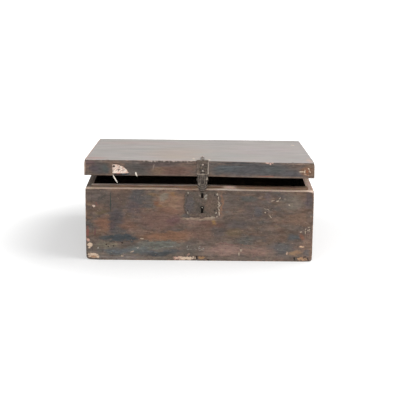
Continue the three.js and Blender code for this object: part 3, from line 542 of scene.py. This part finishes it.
def lid_front_paint():
    """The lid's front: dark paint with streaks, and its upper edge bitten by knocks left of the hasp."""
    shader = Shader("lid front paint", shine=WOOD_SHINE)
    paint_tones(shader, "x")
    lay_patches(shader, "front", LID_FRONT_PATCHES, shader.ragged((34, 20, 14), 20, 6))
    shader.tint(0.1, 7)
    shader.level(0.36, (12, 6, 3.6))
    shader.lay("#8b8783", shader.clouds(0.45, 0.75, (46, 46, 1.5), 3), 0.16)
    left = shader.smooth(shader.x, -4, -24)
    left = shader.times(left, shader.smooth(shader.x, -140, -110))
    bites = shader.minus(shader.cloud((4.5, 20, 20), 3, 0.7), 0.46)
    reach = shader.scaled(left, 14, 3)
    bitten = shader.scaled(bites, shader.times(reach, -1.6), shader.z)
    shader.lay("#3a2e2a", shader.smooth(bitten, LID_TOP - 3.4, LID_TOP - 1.8), 0.7)
    lay_marks(shader, "front", LID_FRONT_MARKS, shader.ragged(3.2, 3.6))
    pale = shader.scaled(bites, reach, shader.z)
    shader.lay("#a5958c", shader.smooth(pale, LID_TOP - 0.9, LID_TOP - 0.2))
    above = shader.scaled(shader.smooth(shader.z, 0.5, 4), 0.75, 0.25)
    wear = shader.times(wear_mask(shader, LID_HULL, 2.2, 1.2), above)
    height = rub_bare(shader, wear, "x", "#8f7466", "#bda593")
    rough = shader.scaled(shader.cloud((60, 14, 14)), 0.25, 0.36)
    return shader.finish(height, 0.18, rough)


def lid_top_paint():
    """The lid's top is paler than the front, in bands along the grain: partly rubbed paler and smoother, and
    partly painted reflection of the white surroundings at a grazing view.
    """
    shader = Shader("lid top paint")
    # The pale base tones are partly painted reflection: the sheen the top shows at a grazing view, laid into
    # its colour.
    bands = shader.clouds(0.35, 0.7, (160, 26, 26), 4)
    shader.colour = shader.mix(bands, "#8f8681", "#837c77")
    lay_patches(shader, "top", LID_TOP_PATCHES, shader.ragged((80, 24, 24), 50, 5))
    shader.tint(0.25, (60, 9, 20))
    shader.level(0.16, (70, 12, 20))
    shader.lay("#aaa19a", shader.clouds(0.4, 0.7, (90, 2.6, 20), 4), 0.3)
    lay_marks(shader, "top", LID_TOP_MARKS, shader.ragged(3.2, 3.6))
    height = rub_bare(shader, wear_mask(shader, LID_HULL, 7, 7), "x", "#9c8377", "#c6afa0")
    rough = shader.scaled(shader.cloud((60, 14, 14)), 0.25, 0.3)
    return shader.finish(height, 0.15, shader.scaled(shader.lost, 0.25, rough))


def plain_wood(name, grain, dark, pale, stain="#33281f"):
    shader = Shader(name, 0.75, shine=WOOD_SHINE)
    shader.colour = bare_tones(shader, grain, dark, pale)
    shader.lay(stain, shader.clouds(0.45, 0.7, 40, 4, 0.6), 0.5)
    return shader.finish(grain_height(shader, grain), 0.3)


# The inside's wood: dark aged wood, kept darker still as painted shade, so that the inside seen through the
# gap under the lid stays black.
def inner_wood(name, grain):
    return plain_wood(name, grain, "#3a2e25", "#5c4a3b", "#241c16")


def lip_wood():
    """The lip behind the front board: a dark brown riser under a paler, rubbed top. The riser's darkness is
    partly painted shade, and the top's paleness partly painted light from above.
    """
    shader = Shader("lip wood", 0.7, shine=WOOD_SHINE)
    shader.colour = bare_tones(shader, "x", "#6b5242", "#917662")
    dark_left = shader.smooth(shader.scaled(shader.cloud(18), 40, shader.x), -155, -185)
    shader.lay("#76665a", dark_left)
    place = shader.ragged(9, 9)
    lay_patches(shader, "top", [Patch("#c9ad9c", 65, BOX_FRONT + 11, 15, 20)], place)
    riser = shader.colour
    shader.colour = bare_tones(shader, "x", "#a8958a", "#cbb9ab")
    lay_patches(shader, "top", LIP_TOP_PATCHES, place)
    # Riser and top are split by height: the darker riser is partly painted shade, the paler top partly
    # painted light.
    shader.colour = shader.mix(shader.smooth(shader.z, RIM + 4, RIM + 4.8), riser, shader.colour)
    shader.tint(0.4, 5)
    return shader.finish(grain_height(shader, "x"), 0.25)


# Iron


def lay_chasing(shader):
    """Dirt in the hasp leaf's chased lines, and rubbed ridges between them."""
    across = shader.minus(shader.x, LOCK_X)
    down = shader.math("MINIMUM", shader.minus(shader.z, BARREL_Z - CHASE_DROP), 0)
    squares = shader.scaled(down, down, shader.times(across, across))
    offset = shader.minus(shader.math("SQRT", squares), CHASED_LINES[0])
    beside = shader.math("PINGPONG", offset, (CHASED_LINES[1] - CHASED_LINES[0]) / 2)
    shown = shader.times(shader.smooth(shader.z, BARREL_Z - 2, BARREL_Z - 4), 0.5)
    shader.lay("#322a25", shader.times(shader.smooth(beside, 0.85, 0.3), shown))
    shader.lay("#8c7f71", shader.times(shader.smooth(beside, 1.2, 1.8), shown))


def iron_metal(name, base, dull, metallic=0.45, pit=0.25, patches=(), edge="#a3978b", chasing=False,
               chips=(), marks=(), speckle=0.6):
    """Old iron: dull, pitted, a little rusty, rubbed bright on edges and in chips, and dark in hollows."""
    shader = Shader(name, 0.5, metallic)
    shader.colour = shader.mix(shader.clouds(0.35, 0.7, 7, 4, 0.65), dull, base)
    lay_patches(shader, "front", patches, shader.ragged(12, 14))
    if chasing:
        lay_chasing(shader)
    shader.tint(0.22, 6)
    shader.level(speckle, 4.4)
    lay_chips(shader, "front", chips)
    lay_marks(shader, "front", marks, shader.ragged(6, 1.6))
    shader.lay("#4a3326", shader.clouds(0.56, 0.7, 2.6, 3, 0.6), 0.7)
    bend = shader.node("ShaderNodeNewGeometry").outputs["Pointiness"]
    rubbed = shader.times(shader.smooth(bend, 0.53, 0.6), shader.clouds(0.4, 0.6, 6))
    shader.lay(edge, rubbed, 0.8)
    shader.lay("#1d1815", shader.smooth(bend, 0.47, 0.4), 0.6)
    rough = shader.scaled(shader.cloud(5), 0.4, 0.32)
    return shader.finish(shader.cloud(1.7, 4, 0.65), pit, rough)


# Shapes


# How far from an edge each cut lies, so that the edge can be rounded
EDGE_CUTS = (0.35, 0.8, 1.4, 2.2, 3.3, 4.8, 7, 10)


def cut_places(low, high, step):
    """Cuts close together near both ends, and step apart between."""
    reach = EDGE_CUTS[-1]
    count = max(2, round((high - low - 2 * reach) / step) + 1)
    ends = [low + c for c in EDGE_CUTS[:-1]] + [high - c for c in EDGE_CUTS[:-1]]
    return ends + list(np.linspace(low + reach, high - reach, count))


def local_mesh(nodes, body):
    """The CAD nodes' faces in their body's frame, in millimetres."""
    mesh = bmesh.new()
    for name in nodes:
        mesh.from_mesh(frame["nodes"][name].data)
    mesh.transform(Matrix.Scale(1 / MM, 4) @ PLACES[body].inverted())
    bmesh.ops.remove_doubles(mesh, verts=mesh.verts, dist=0.001)
    return mesh


def cut_up(mesh, cuts):
    for axis, places in enumerate(cuts):
        across = Vector([float(axis == i) for i in range(3)])
        for place in places:
            parts = mesh.verts[:] + mesh.edges[:] + mesh.faces[:]
            bmesh.ops.bisect_plane(mesh, geom=parts, plane_co=across * place, plane_no=across, dist=0.001)


def places_of(mesh):
    return np.array([v.co for v in mesh.verts])


def move_to(mesh, places):
    for vertex, place in zip(mesh.verts, places):
        vertex.co = place


def worn(places, hull, radius_at):
    """Places on a boxy shape, moved in where its edges are rounded. radius_at gives a place's rounding."""
    low, high = hull
    middle = (low + high) / 2
    half = (high - low) / 2
    offset = places - middle
    inset = half - abs(offset)
    near = np.sort(inset, axis=1)[:, 1] < EDGE_CUTS[-1]
    radii = np.zeros(len(places))
    radii[near] = [radius_at(Vector(p)) for p in places[near]]
    lack = np.clip(radii[:, None] - inset, 0, None)
    reach = np.linalg.norm(lack, axis=1)
    share = np.where(reach > radii, radii / np.maximum(reach, 1e-9), 1)
    new_inset = np.where(lack > 0, radii[:, None] - lack * share[:, None], inset)
    return middle + np.where(offset < 0, -1, 1) * (half - new_inset)


# Places where the boards are knocked or rubbed away: middle, reach, and how much more they are rounded there
BOX_KNOCKS = [
    ((-250, -200, 0), 20, 7.5), ((250, -200, 0), 15, 4.5), ((250, -200, 162), 12, 5.5),
    ((-250, -200, 162), 7, 2), ((-250, -200, 42), 9, 1.6), ((-30, -200, 0), 26, 2.2),
    ((-250, 200, 0), 14, 4), ((250, 200, 0), 14, 4), ((250, 60, 0), 30, 2),
    ((-250, -60, 162), 12, 1.5),
]
LID_KNOCKS = [
    ((-249.5, -405.5, 34), 10, 1.8), ((249.5, -405.5, 34), 12, 2.4), ((151, -405.5, 34), 9, 3),
    ((249.5, -4, 34), 11, 3), ((-249.5, -4, 34), 8, 1.5), ((-100, -405.5, 34), 60, 0.9),
    ((-45, -405.5, 34), 40, 0.9),
]

# How fast a knock fades over its reach
KNOCK_FALL = 1.6


def knocked(place, knocks):
    total = 0
    for at, reach, depth in knocks:
        distance = (place - Vector(at)).length / reach
        total += depth * math.exp(-distance * distance * KNOCK_FALL)
    return total


def box_radius(place):
    long = noise.noise(place / 38)
    short = noise.noise(place / 7)
    fine = noise.noise(place / 2.6)
    radius = max(0.5, 1.4 + 0.7 * long + 0.5 * short + 0.2 * fine)
    if place.z > RIM - 4 and place.y < BOX_FRONT + 18:
        radius *= 0.4
    return radius + knocked(place, BOX_KNOCKS)


def lid_radius(place):
    long = noise.noise(place / 42 + Vector((7, 3, 1)))
    bites = max(0, noise.noise(place / 6.5) - 0.15) * 4
    fine = noise.noise(place / 2.4)
    ragged = 1 if place.z > LID_TOP - 12 and place.y < LID_FRONT + 12 and place.x < 0 else 0.35
    return max(0.45, 1 + 0.5 * long + bites * ragged + 0.2 * fine + knocked(place, LID_KNOCKS))


def add_object(name, data):
    made = bpy.data.objects.new(name, data)
    bpy.context.scene.collection.objects.link(made)
    return made


def make_piece(name, mesh, body, materials, replaced=(), smooth_angle=34):
    """Turns a mesh in its body's frame into a piece that rides on that body."""
    mesh.transform(Matrix.Scale(MM, 4))
    mesh.normal_update()
    data = bpy.data.meshes.new(name)
    mesh.to_mesh(data)
    mesh.free()
    data.polygons.foreach_set("use_smooth", [True] * len(data.polygons))
    data.set_sharp_from_angle(angle=math.radians(smooth_angle))
    for material in materials:
        data.materials.append(material)
    piece = add_object(name, data)
    piece.matrix_world = PLACES[body]
    if replaced:
        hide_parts(*replaced)
    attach(piece, body)
    return piece


# Which side of a boxy shape a face lies on, from its normal's largest axis. A face that looks outwards but
# lies deeper than OUTER_DEPTH is an inner one.
OUTER_DEPTH = 11
SIDES = ((0, -1, "left"), (0, 1, "right"), (1, -1, "front"), (1, 1, "back"), (2, -1, "bottom"), (2, 1, "top"))


def cover_sides(piece, hull, covers):
    """Gives each face the material of its side. covers has one for "inner" and for any sides that differ."""
    names = list(covers)
    for name in names:
        piece.data.materials.append(covers[name])
    faces = piece.data.polygons
    normals = np.array([face.normal for face in faces])
    centres = np.array([face.center for face in faces]) / MM
    largest = abs(normals).argmax(axis=1)
    indices = np.full(len(faces), names.index("inner"))
    for axis, sign, side in SIDES:
        if side in covers:
            depth = abs(centres[:, axis] - hull[0 if sign < 0 else 1][axis])
            here = (largest == axis) & (normals[:, axis] * sign > 0) & (depth < OUTER_DEPTH)
            indices[here] = names.index(side)
    faces.foreach_set("material_index", indices.astype(int))


# The front right of the box and lid has sunk a little: by how much, and between which x
SAG = 2.5
SAG_RANGE = (-30, 200)
SAG_FOOT = 60
HINGE_Y = {"box": LID_HINGE["pos_m"][1] / MM, "lid": 0}


def sagged(places, body):
    """Places lowered towards the front right, the box's only above SAG_FOOT: the lid still shuts on it."""
    low, high = SAG_RANGE
    share = np.clip((places[:, 0] - low) / (high - low), 0, 1)
    share = share * share * (3 - 2 * share) * np.clip((HINGE_Y[body] - places[:, 1]) / -LID_FRONT, 0, 1)
    if body == "box":
        share = share * np.clip((places[:, 2] - SAG_FOOT) / (RIM - SAG_FOOT), 0, 1)
    moved = places.copy()
    moved[:, 2] -= SAG * share
    return moved


BOX_WEAR = ("box", BOX_HULL, box_radius)
LID_WEAR = ("lid", LID_HULL, lid_radius)


def make_board(node, body, hull, radius_at, steps, covers, slot, shape=None):
    """A CAD board with its outer edges worn round. steps are the cuts' distances along each axis."""
    mesh = local_mesh([node], body)
    low, high = box_of([node], body)
    cut_up(mesh, [cut_places(a, b, step) if step else [] for a, b, step in zip(low, high, steps)])
    places = sagged(worn(places_of(mesh), hull, radius_at), body)
    if shape:
        places = shape(places)
    move_to(mesh, places)
    piece = make_piece(f"{node}_worn", mesh, body, [], [node])
    cover_sides(piece, hull, covers)
    return piece


def make_box_boards():
    side = painted_wood("side paint", BOX_HULL, "y", "side", SIDE_PATCHES, SIDE_MARKS, 12, 9)
    front = painted_wood("front paint", BOX_HULL, "x", "front", FRONT_PATCHES, FRONT_MARKS,
                         chips=FRONT_CHIPS)
    outside = {
        "front": front,
        "back": painted_wood("back paint", BOX_HULL, "x", "front", BACK_PATCHES, BACK_MARKS, 12, 9),
        "left": side,
        "right": side,
        "bottom": plain_wood("underside wood", "x", "#8f745c", "#b59a80"),
    }
    inner_x = inner_wood("inner wood along x", "x")
    inner_y = inner_wood("inner wood along y", "y")
    rims = {
        "front": rim_wood("front rim", "x", "#c9ac97", "#e3cdbb", RIM_PATCHES),
        "back": rim_wood("back rim", "x", "#8d7361", "#b59a86"),
    }
    side_rim = rim_wood("side rim", "y", "#9d8172", "#c4ad9c", left_dark=True)
    for name in ("front", "back"):
        cover = {**outside, "inner": inner_x, "top": rims[name]}
        make_board(f"{name}_board", *BOX_WEAR, (4, 8, 10), cover, "painted_wood")
    for name in ("left", "right"):
        cover = {**outside, "inner": inner_y, "top": side_rim}
        make_board(f"{name}_side_board", *BOX_WEAR, (8, 5, 10), cover, "painted_wood")
        cover = {**outside, "inner": inner_x}
        make_board(f"bottom_board_{name}", *BOX_WEAR, (6, 6, 8), cover, "bare_wood")
    lip = {"inner": lip_wood()}
    make_board("front_lip", "box", box_of(["front_lip"], "box"), lip_radius, (5, 8, 8), lip, "inner_wood")


# The dark filler in the bottom's joint: its height, its middle's height, and how far it stays from front and
# back
FILLER_HEIGHT = 8
FILLER_MIDDLE = 5
FILLER_SHORT = 4


def fill_bottom_joint():
    """A dark filler packed between the two bottom boards."""
    left = box_of(["bottom_board_left"], "box")[1]
    right = box_of(["bottom_board_right"], "box")[0]
    depth = float(BOX_HULL[1][1] - BOX_HULL[0][1]) - 2 * FILLER_SHORT
    size = Matrix.Diagonal((float(right[0] - left[0]), depth, FILLER_HEIGHT, 1))
    mesh = bmesh.new()
    bmesh.ops.create_cube(mesh, size=1)
    mesh.transform(Matrix.Translation((float(left[0] + right[0]) / 2, 0, FILLER_MIDDLE)) @ size)
    dark_filler = plain_wood("dark_filler", "y", "#191411", "#2b231e")
    make_piece("bottom_joint_dark_filler", mesh, "box", [dark_filler])


def lip_radius(place):
    return max(0.4, 0.9 + 0.6 * noise.noise(place / 21) + 0.3 * noise.noise(place / 5))


# The chip broken out of the lid's front rail
CHIP_LEFT = -190
CHIP_RIGHT = -154
CHIP_FLOOR = LID_FRONT + 3.5
LEFT_SPREAD = 2.4
SPREAD_FROM = -120
SPREAD_OVER = 130


def spread_left(places):
    """The lid stands out a little further at its left end, as if it had been planed less there."""
    share = np.clip((SPREAD_FROM - places[:, 0]) / SPREAD_OVER, 0, 1)
    moved = places.copy()
    moved[:, 0] -= LEFT_SPREAD * share * share
    return moved


def chip_shape(places):
    """Roughens the chip's floor: a splintered slope with ridges along the grain."""
    moved = spread_left(places)
    for i, place in enumerate(places):
        x, y, z = place
        if CHIP_LEFT - 0.5 < x < CHIP_RIGHT + 1 and LID_FRONT + 2 < y < CHIP_FLOOR + 0.5:
            ridge = noise.noise(Vector((x / 14, z / 2.2, 3)))
            lump = noise.noise(Vector((x / 5, z / 4, 9)))
            moved[i][1] = y - 1.2 - 0.9 * ridge - 0.6 * lump
    return moved


def chip_wood():
    """Pale, pinkish broken wood with dark diagonal cracks."""
    shader = Shader("chip wood", 0.8)
    shader.colour = shader.mix(shader.clouds(0.35, 0.65, 5, 4, 0.6), "#efcab8", "#fff0e2")
    slant = shader.node("ShaderNodeCombineXYZ", {
        0: shader.times(shader.math("ADD", shader.x, shader.z), 0.03),
        1: shader.times(shader.minus(shader.x, shader.z), 0.1),
    })
    veins = shader.node("ShaderNodeTexNoise", {"Vector": slant.outputs[0], "Scale": 1, "Detail": 2})
    beside = shader.math("ABSOLUTE", shader.minus(veins.outputs[0], 0.5))
    line = shader.smooth(beside, 0.017, 0.005)
    crack = shader.times(line, shader.clouds(0.4, 0.5, 8))
    shader.lay("#5b3f33", crack)
    shader.lose(crack)
    notch = Patch("#4a352b", CHIP_LEFT + 3, 20.5, 2.6, 2.4, turn=-20)
    lay_marks(shader, "front", [notch], shader.ragged(4, 3))
    height = shader.minus(shader.cloud((9, 9, 1.2), 3), shader.lost)
    return shader.finish(height, 0.4)


def paint_chip(rail):
    """Gives the chip's floor and walls the broken wood's material."""
    rail.data.materials.append(chip_wood())
    for face in rail.data.polygons:
        x, y, z = face.center / MM
        if CHIP_LEFT - 0.3 < x < CHIP_RIGHT + 1 and LID_FRONT + 0.3 < y < CHIP_FLOOR + 0.5 and z > 6:
            face.material_index = len(rail.data.materials) - 1


def make_lid_boards():
    side = painted_wood("lid side paint", LID_HULL, "y", "side", LID_SIDE_PATCHES, LID_SIDE_MARKS, 8, 6)
    inner = inner_wood("inner wood of the lid", "x")
    cover = {
        "inner": inner,
        "front": lid_front_paint(),
        "back": painted_wood("lid back paint", LID_HULL, "x", "front", LID_BACK_PATCHES, [], 8, 6),
        "left": side,
        "right": side,
        "top": lid_top_paint(),
    }
    make_board("lid_top", *LID_WEAR, (3, 30, 0), cover, "lid_wood", spread_left)
    paint_chip(make_board("lid_front_rail", *LID_WEAR, (3, 3, 4), cover, "painted_wood", chip_shape))
    for name in ("back", "left", "right"):
        make_board(f"lid_{name}_rail", *LID_WEAR, (6, 6, 8), cover, "painted_wood", spread_left)


# Slivers of wood that still hang from the lid's front: the root's x and z, the tip's, and half the width.
# All have the same bend and half thickness.
SLIVERS = [
    ((-189.2, 2), (-178.8, -16), 1.35),
    ((-139.9, 8.6), (-136.4, -1.2), 1.6),
]
SLIVER_STEPS = 9
SLIVER_BEND = 0.5
SLIVER_HALF = 0.45


def make_sliver(number, root, tip, width, material):
    """A bent sliver, flat against the lid's front and drawn out to a point at both ends."""
    mesh = bmesh.new()
    root = Vector((root[0], 0, root[1]))
    run = Vector((tip[0], 0, tip[1])) - root
    aside = Vector((run.z, 0, -run.x)).normalized()
    rings = []
    for i in range(SLIVER_STEPS + 1):
        share = i / SLIVER_STEPS
        full = math.sin(math.pi * (0.08 + 0.9 * share)) ** 0.6
        bend = SLIVER_BEND * math.sin(math.pi * share)
        centre = root + run * share + aside * bend
        centre.y = LID_FRONT + 0.1 - bend
        half = aside * width * full
        thick = Vector((0, SLIVER_HALF * full, 0))
        rings.append([mesh.verts.new(centre + offset) for offset in (half, thick, -half, -thick)])
    for ring, following in zip(rings, rings[1:]):
        for a in range(4):
            b = (a + 1) % 4
            mesh.faces.new((ring[a], ring[b], following[b], following[a]))
    mesh.faces.new(rings[0][::-1])
    mesh.faces.new(rings[-1])
    bmesh.ops.recalc_face_normals(mesh, faces=mesh.faces[:])
    make_piece(f"sliver_{number}", mesh, "lid", [material])


# Ironwork


def even_mesh(nodes, body, voxel, rounds):
    """The CAD nodes' solid meshed in even steps, with its edges rubbed soft in some rounds."""
    mesh = local_mesh(nodes, body)
    data = bpy.data.meshes.new("solid")
    mesh.to_mesh(data)
    solid = add_object("solid", data)
    remesh = solid.modifiers.new("even", "REMESH")
    remesh.mode = "VOXEL"
    remesh.voxel_size = voxel
    mesh.clear()
    mesh.from_object(solid, bpy.context.evaluated_depsgraph_get())
    bpy.data.objects.remove(solid)
    axes = {"use_axis_x": True, "use_axis_y": True, "use_axis_z": True}
    for _ in range(rounds):
        bmesh.ops.smooth_vert(mesh, verts=mesh.verts, factor=0.5, **axes)
    mesh.normal_update()
    return mesh


def forge(node, body, material, voxel, rounds=2, shape=None):
    """An iron piece with soft edges. shape moves its vertices, and knows their places and normals."""
    mesh = even_mesh([node], body, voxel, rounds)
    if shape:
        normals = np.array([v.normal for v in mesh.verts])
        move_to(mesh, shape(places_of(mesh), normals))
    make_piece(f"{node}_forged", mesh, body, [material], [node], 60)


# How wide and deep the lock plate's dents are, and its rough skin
DENTS = (13, 0.35)
SKIN = (2.2, 0.12)


def dented(places, normals):
    """Sheet iron beaten uneven: bent out here and there, never further in, and rough on its front."""
    moved = places.copy()
    for i, (place, normal) in enumerate(zip(places, normals)):
        flat = Vector((place[0], 0, place[2])) / DENTS[0]
        moved[i][1] -= DENTS[1] * max(0, noise.noise(flat) + 0.15)
        if normal[1] < -0.5:
            moved[i][1] += SKIN[1] * noise.noise(Vector(place) / SKIN[0])
    return moved


def chased(places, normals):
    """Nested lines cut into the leaf's front."""
    centre = BARREL_Z - CHASE_DROP
    across = places[:, 0] - LOCK_X
    down = np.minimum(places[:, 2] - centre, 0)
    radius = np.hypot(across, down)
    depth = sum(np.exp(-(((radius - line) / CHASE_WIDTH) ** 2)) for line in CHASED_LINES)
    below_barrel = places[:, 2] < BARREL_Z - 3
    moved = places.copy()
    moved[:, 1] += np.where((normals[:, 1] < -0.4) & below_barrel, depth * CHASE_DEPTH, 0)
    return moved


PLATE_PATCHES = [Patch(*row) for row in (
    ("#5d5655", -22, 128, 11, 24, 0.8), ("#6b594d", 24, 130, 16, 22), ("#4f4841", 2, 120, 9, 12),
    ("#6a5b50", 5, 104, 34, 4),
)]
PLATE_CHIPS = grouped({
    "#a2998d": [(LOCK_X + 7.7, 145, 5, 11, 0.68), (LOCK_X - 4, 149, 1.4, 3, 0.85)],
    "#b5aa9b": [
        (LOCK_X + 33, 152, 3.4, 4.4, 0.7), (LOCK_X - 31, 154, 2.8, 3.4, 0.8),
        (LOCK_X + 31, 111, 3.6, 4, 0.7), (LOCK_X - 31, 110, 1.6, 5.6, 0.9, 20),
    ],
})
LEAF_CHIPS = grouped({
    "#a89b8d": [(LOCK_X + 10.5, BARREL_Z - 11, 2.6, 5, 0.78), (LOCK_X - 7, BARREL_Z - 22, 5, 6, 0.5)],
})
# A pale line along the hasp's barrel: a painted highlight.
BARREL_HIGHLIGHT = Patch("#b3a597", LOCK_X, BARREL_Z - 1.5, 15, 1.5)
STRAP_RIGHT = float(box_of(["hasp_plate"], "lid")[1][0])
# A pale line down the strap's right edge: a painted highlight.
STRAP_EDGE_HIGHLIGHT = Patch("#a99c8f", STRAP_RIGHT - 1, LID_TOP / 2 + 1, 1.1, LID_TOP / 2)


def make_ironwork():
    plate = iron_metal("plate iron", "#6b5d52", "#544a42", 0.35, 0.25, PLATE_PATCHES, chips=PLATE_CHIPS,
                       speckle=0.4)
    leaf = iron_metal("leaf iron", "#574d46", "#433b35", 0.4, 0.2, edge="#9b8d7e", chasing=True,
                      chips=LEAF_CHIPS, marks=[BARREL_HIGHLIGHT], speckle=0.8)
    strap = iron_metal("strap iron", "#6b5e54", "#4a4037", 0.35, 0.3, marks=[BARREL_HIGHLIGHT, STRAP_EDGE_HIGHLIGHT],
                       speckle=0.8)
    dark = iron_metal("dark iron", "#554a42", "#39322c", 0.35, 0.3)
    nail = iron_metal("nail iron", "#b3aaa0", "#8d837a", 0.85, 0.1, edge="#e0d8d0")
    forge("lock_plate", "box", plate, 0.5, 1, dented)
    forge("hasp_plate", "lid", strap, 0.45)
    forge("hasp_leaf", "hasp", leaf, 0.4, 1, chased)
    forge("hasp_staple", "hasp", dark, 0.35)
    for side in ("left", "right"):
        forge(f"hinge_lower_leaf_{side}", "box", dark, 0.7, 1)
        forge(f"hinge_upper_leaf_{side}", "lid", dark, 0.7, 1)
    for name in frame["nodes"]:
        if name.startswith(("hasp_nail", "strap_nail")):
            forge(name, "lid", nail, 0.3)
        elif name.startswith("lock_nail"):
            forge(name, "box", dark, 0.3)
        elif name.startswith("lid_brad"):
            forge(name, "lid", dark, 0.3, 0, lambda places, normals: sagged(places, "lid"))


# Stage


FLOOR_WHITE = 0.64
FLOOR_LIFT = 0.34
FLOOR_FADE = (340, 760)
FLOOR_HALF = 12
WORLD_LIGHT = 0.55
WHITE = "#ffffff"

# Each lamp's name, place, size and power, and the point that all of them face
LAMPS = (("key", (1.5, -0.25, 1.9), 2.2, 42), ("front fill", (-0.4, -2.2, 1.4), 1.6, 15.5))
LAMP_AIM = Vector((0, 0, 0.08))


def make_floor():
    """A white floor that keeps the shadow near the box and turns to plain white away from it."""
    shader = Shader("floor white", 1, shine=0)
    inputs = shader.surface.inputs
    inputs["Base Color"].default_value = (FLOOR_WHITE, FLOOR_WHITE, FLOOR_WHITE, 1)
    inputs["Emission Color"].default_value = rgb(WHITE)
    away = shader.vector("LENGTH", shader.place, output=1)
    lift = shader.scaled(shader.smooth(away, *FLOOR_FADE), 1 - FLOOR_LIFT, FLOOR_LIFT)
    seen = shader.node("ShaderNodeLightPath").outputs["Is Camera Ray"]
    shader.tree.links.new(shader.times(seen, lift), inputs["Emission Strength"])
    mesh = bmesh.new()
    bmesh.ops.create_grid(mesh, x_segments=1, y_segments=1, size=FLOOR_HALF)
    data = bpy.data.meshes.new("floor")
    mesh.to_mesh(data)
    mesh.free()
    data.materials.append(shader.material)
    add_object("floor", data)


def make_world():
    """White to the camera and in reflections, and a plain soft light on everything else."""
    world = bpy.data.worlds.new("studio")
    bpy.context.scene.world = world
    world.use_nodes = True
    tree = world.node_tree
    background = tree.nodes["Background"]
    background.inputs["Color"].default_value = rgb(WHITE)
    rays = add_node(tree, "ShaderNodeLightPath").outputs
    shown = rays["Is Camera Ray"]
    for kind in ("Is Glossy Ray", "Is Transmission Ray"):
        shown = add_node(tree, "ShaderNodeMath", {0: shown, 1: rays[kind]}, operation="MAXIMUM").outputs[0]
    strength = add_node(tree, "ShaderNodeMapRange", {"Value": shown, "To Min": WORLD_LIGHT, "To Max": 1})
    tree.links.new(strength.outputs[0], background.inputs["Strength"])


def make_lamps():
    for name, at, size, power in LAMPS:
        data = bpy.data.lights.new(name, "AREA")
        data.size = size
        data.energy = power
        lamp = add_object(name, data)
        lamp.location = at
        lamp.rotation_euler = (LAMP_AIM - Vector(at)).to_track_quat("-Z", "Y").to_euler()


def make_camera():
    data = bpy.data.cameras.new("camera")
    data.lens = FOCAL_LENGTH
    data.sensor_width = SENSOR_WIDTH
    camera = add_object("camera", data)
    level = Matrix.Rotation(CAMERA_YAW, 4, "Z") @ Matrix.Rotation(math.pi / 2 - CAMERA_PITCH, 4, "X")
    turn = level @ Matrix.Rotation(CAMERA_ROLL, 4, "Z")
    camera.matrix_world = Matrix.Translation(Vector(CAMERA_AT) * MM) @ turn
    bpy.context.scene.camera = camera


def dress_plain_nodes():
    """CAD nodes whose shape is right keep it and get a material."""
    iron = iron_metal("iron", "#544a42", "#39322d")
    bright = iron_metal("bright iron", "#bdb5ac", "#8f867d", 0.8)
    for name, node in frame["nodes"].items():
        if not node.hide_render:
            node.data.materials.clear()
            node.data.materials.append(bright if name in ("lock_bolt", "bolt_spring", "key_post") else iron)


make_camera()
make_world()
make_floor()
make_lamps()
make_box_boards()
fill_bottom_joint()
make_lid_boards()
sliver_wood = plain_wood("sliver wood", "z", "#f3e6d6", "#fff9f0", "#e3d0bb")
for index, sliver in enumerate(SLIVERS):
    make_sliver(index + 1, *sliver, sliver_wood)
make_ironwork()
dress_plain_nodes()

bpy.context.scene.view_settings.view_transform = "Standard"
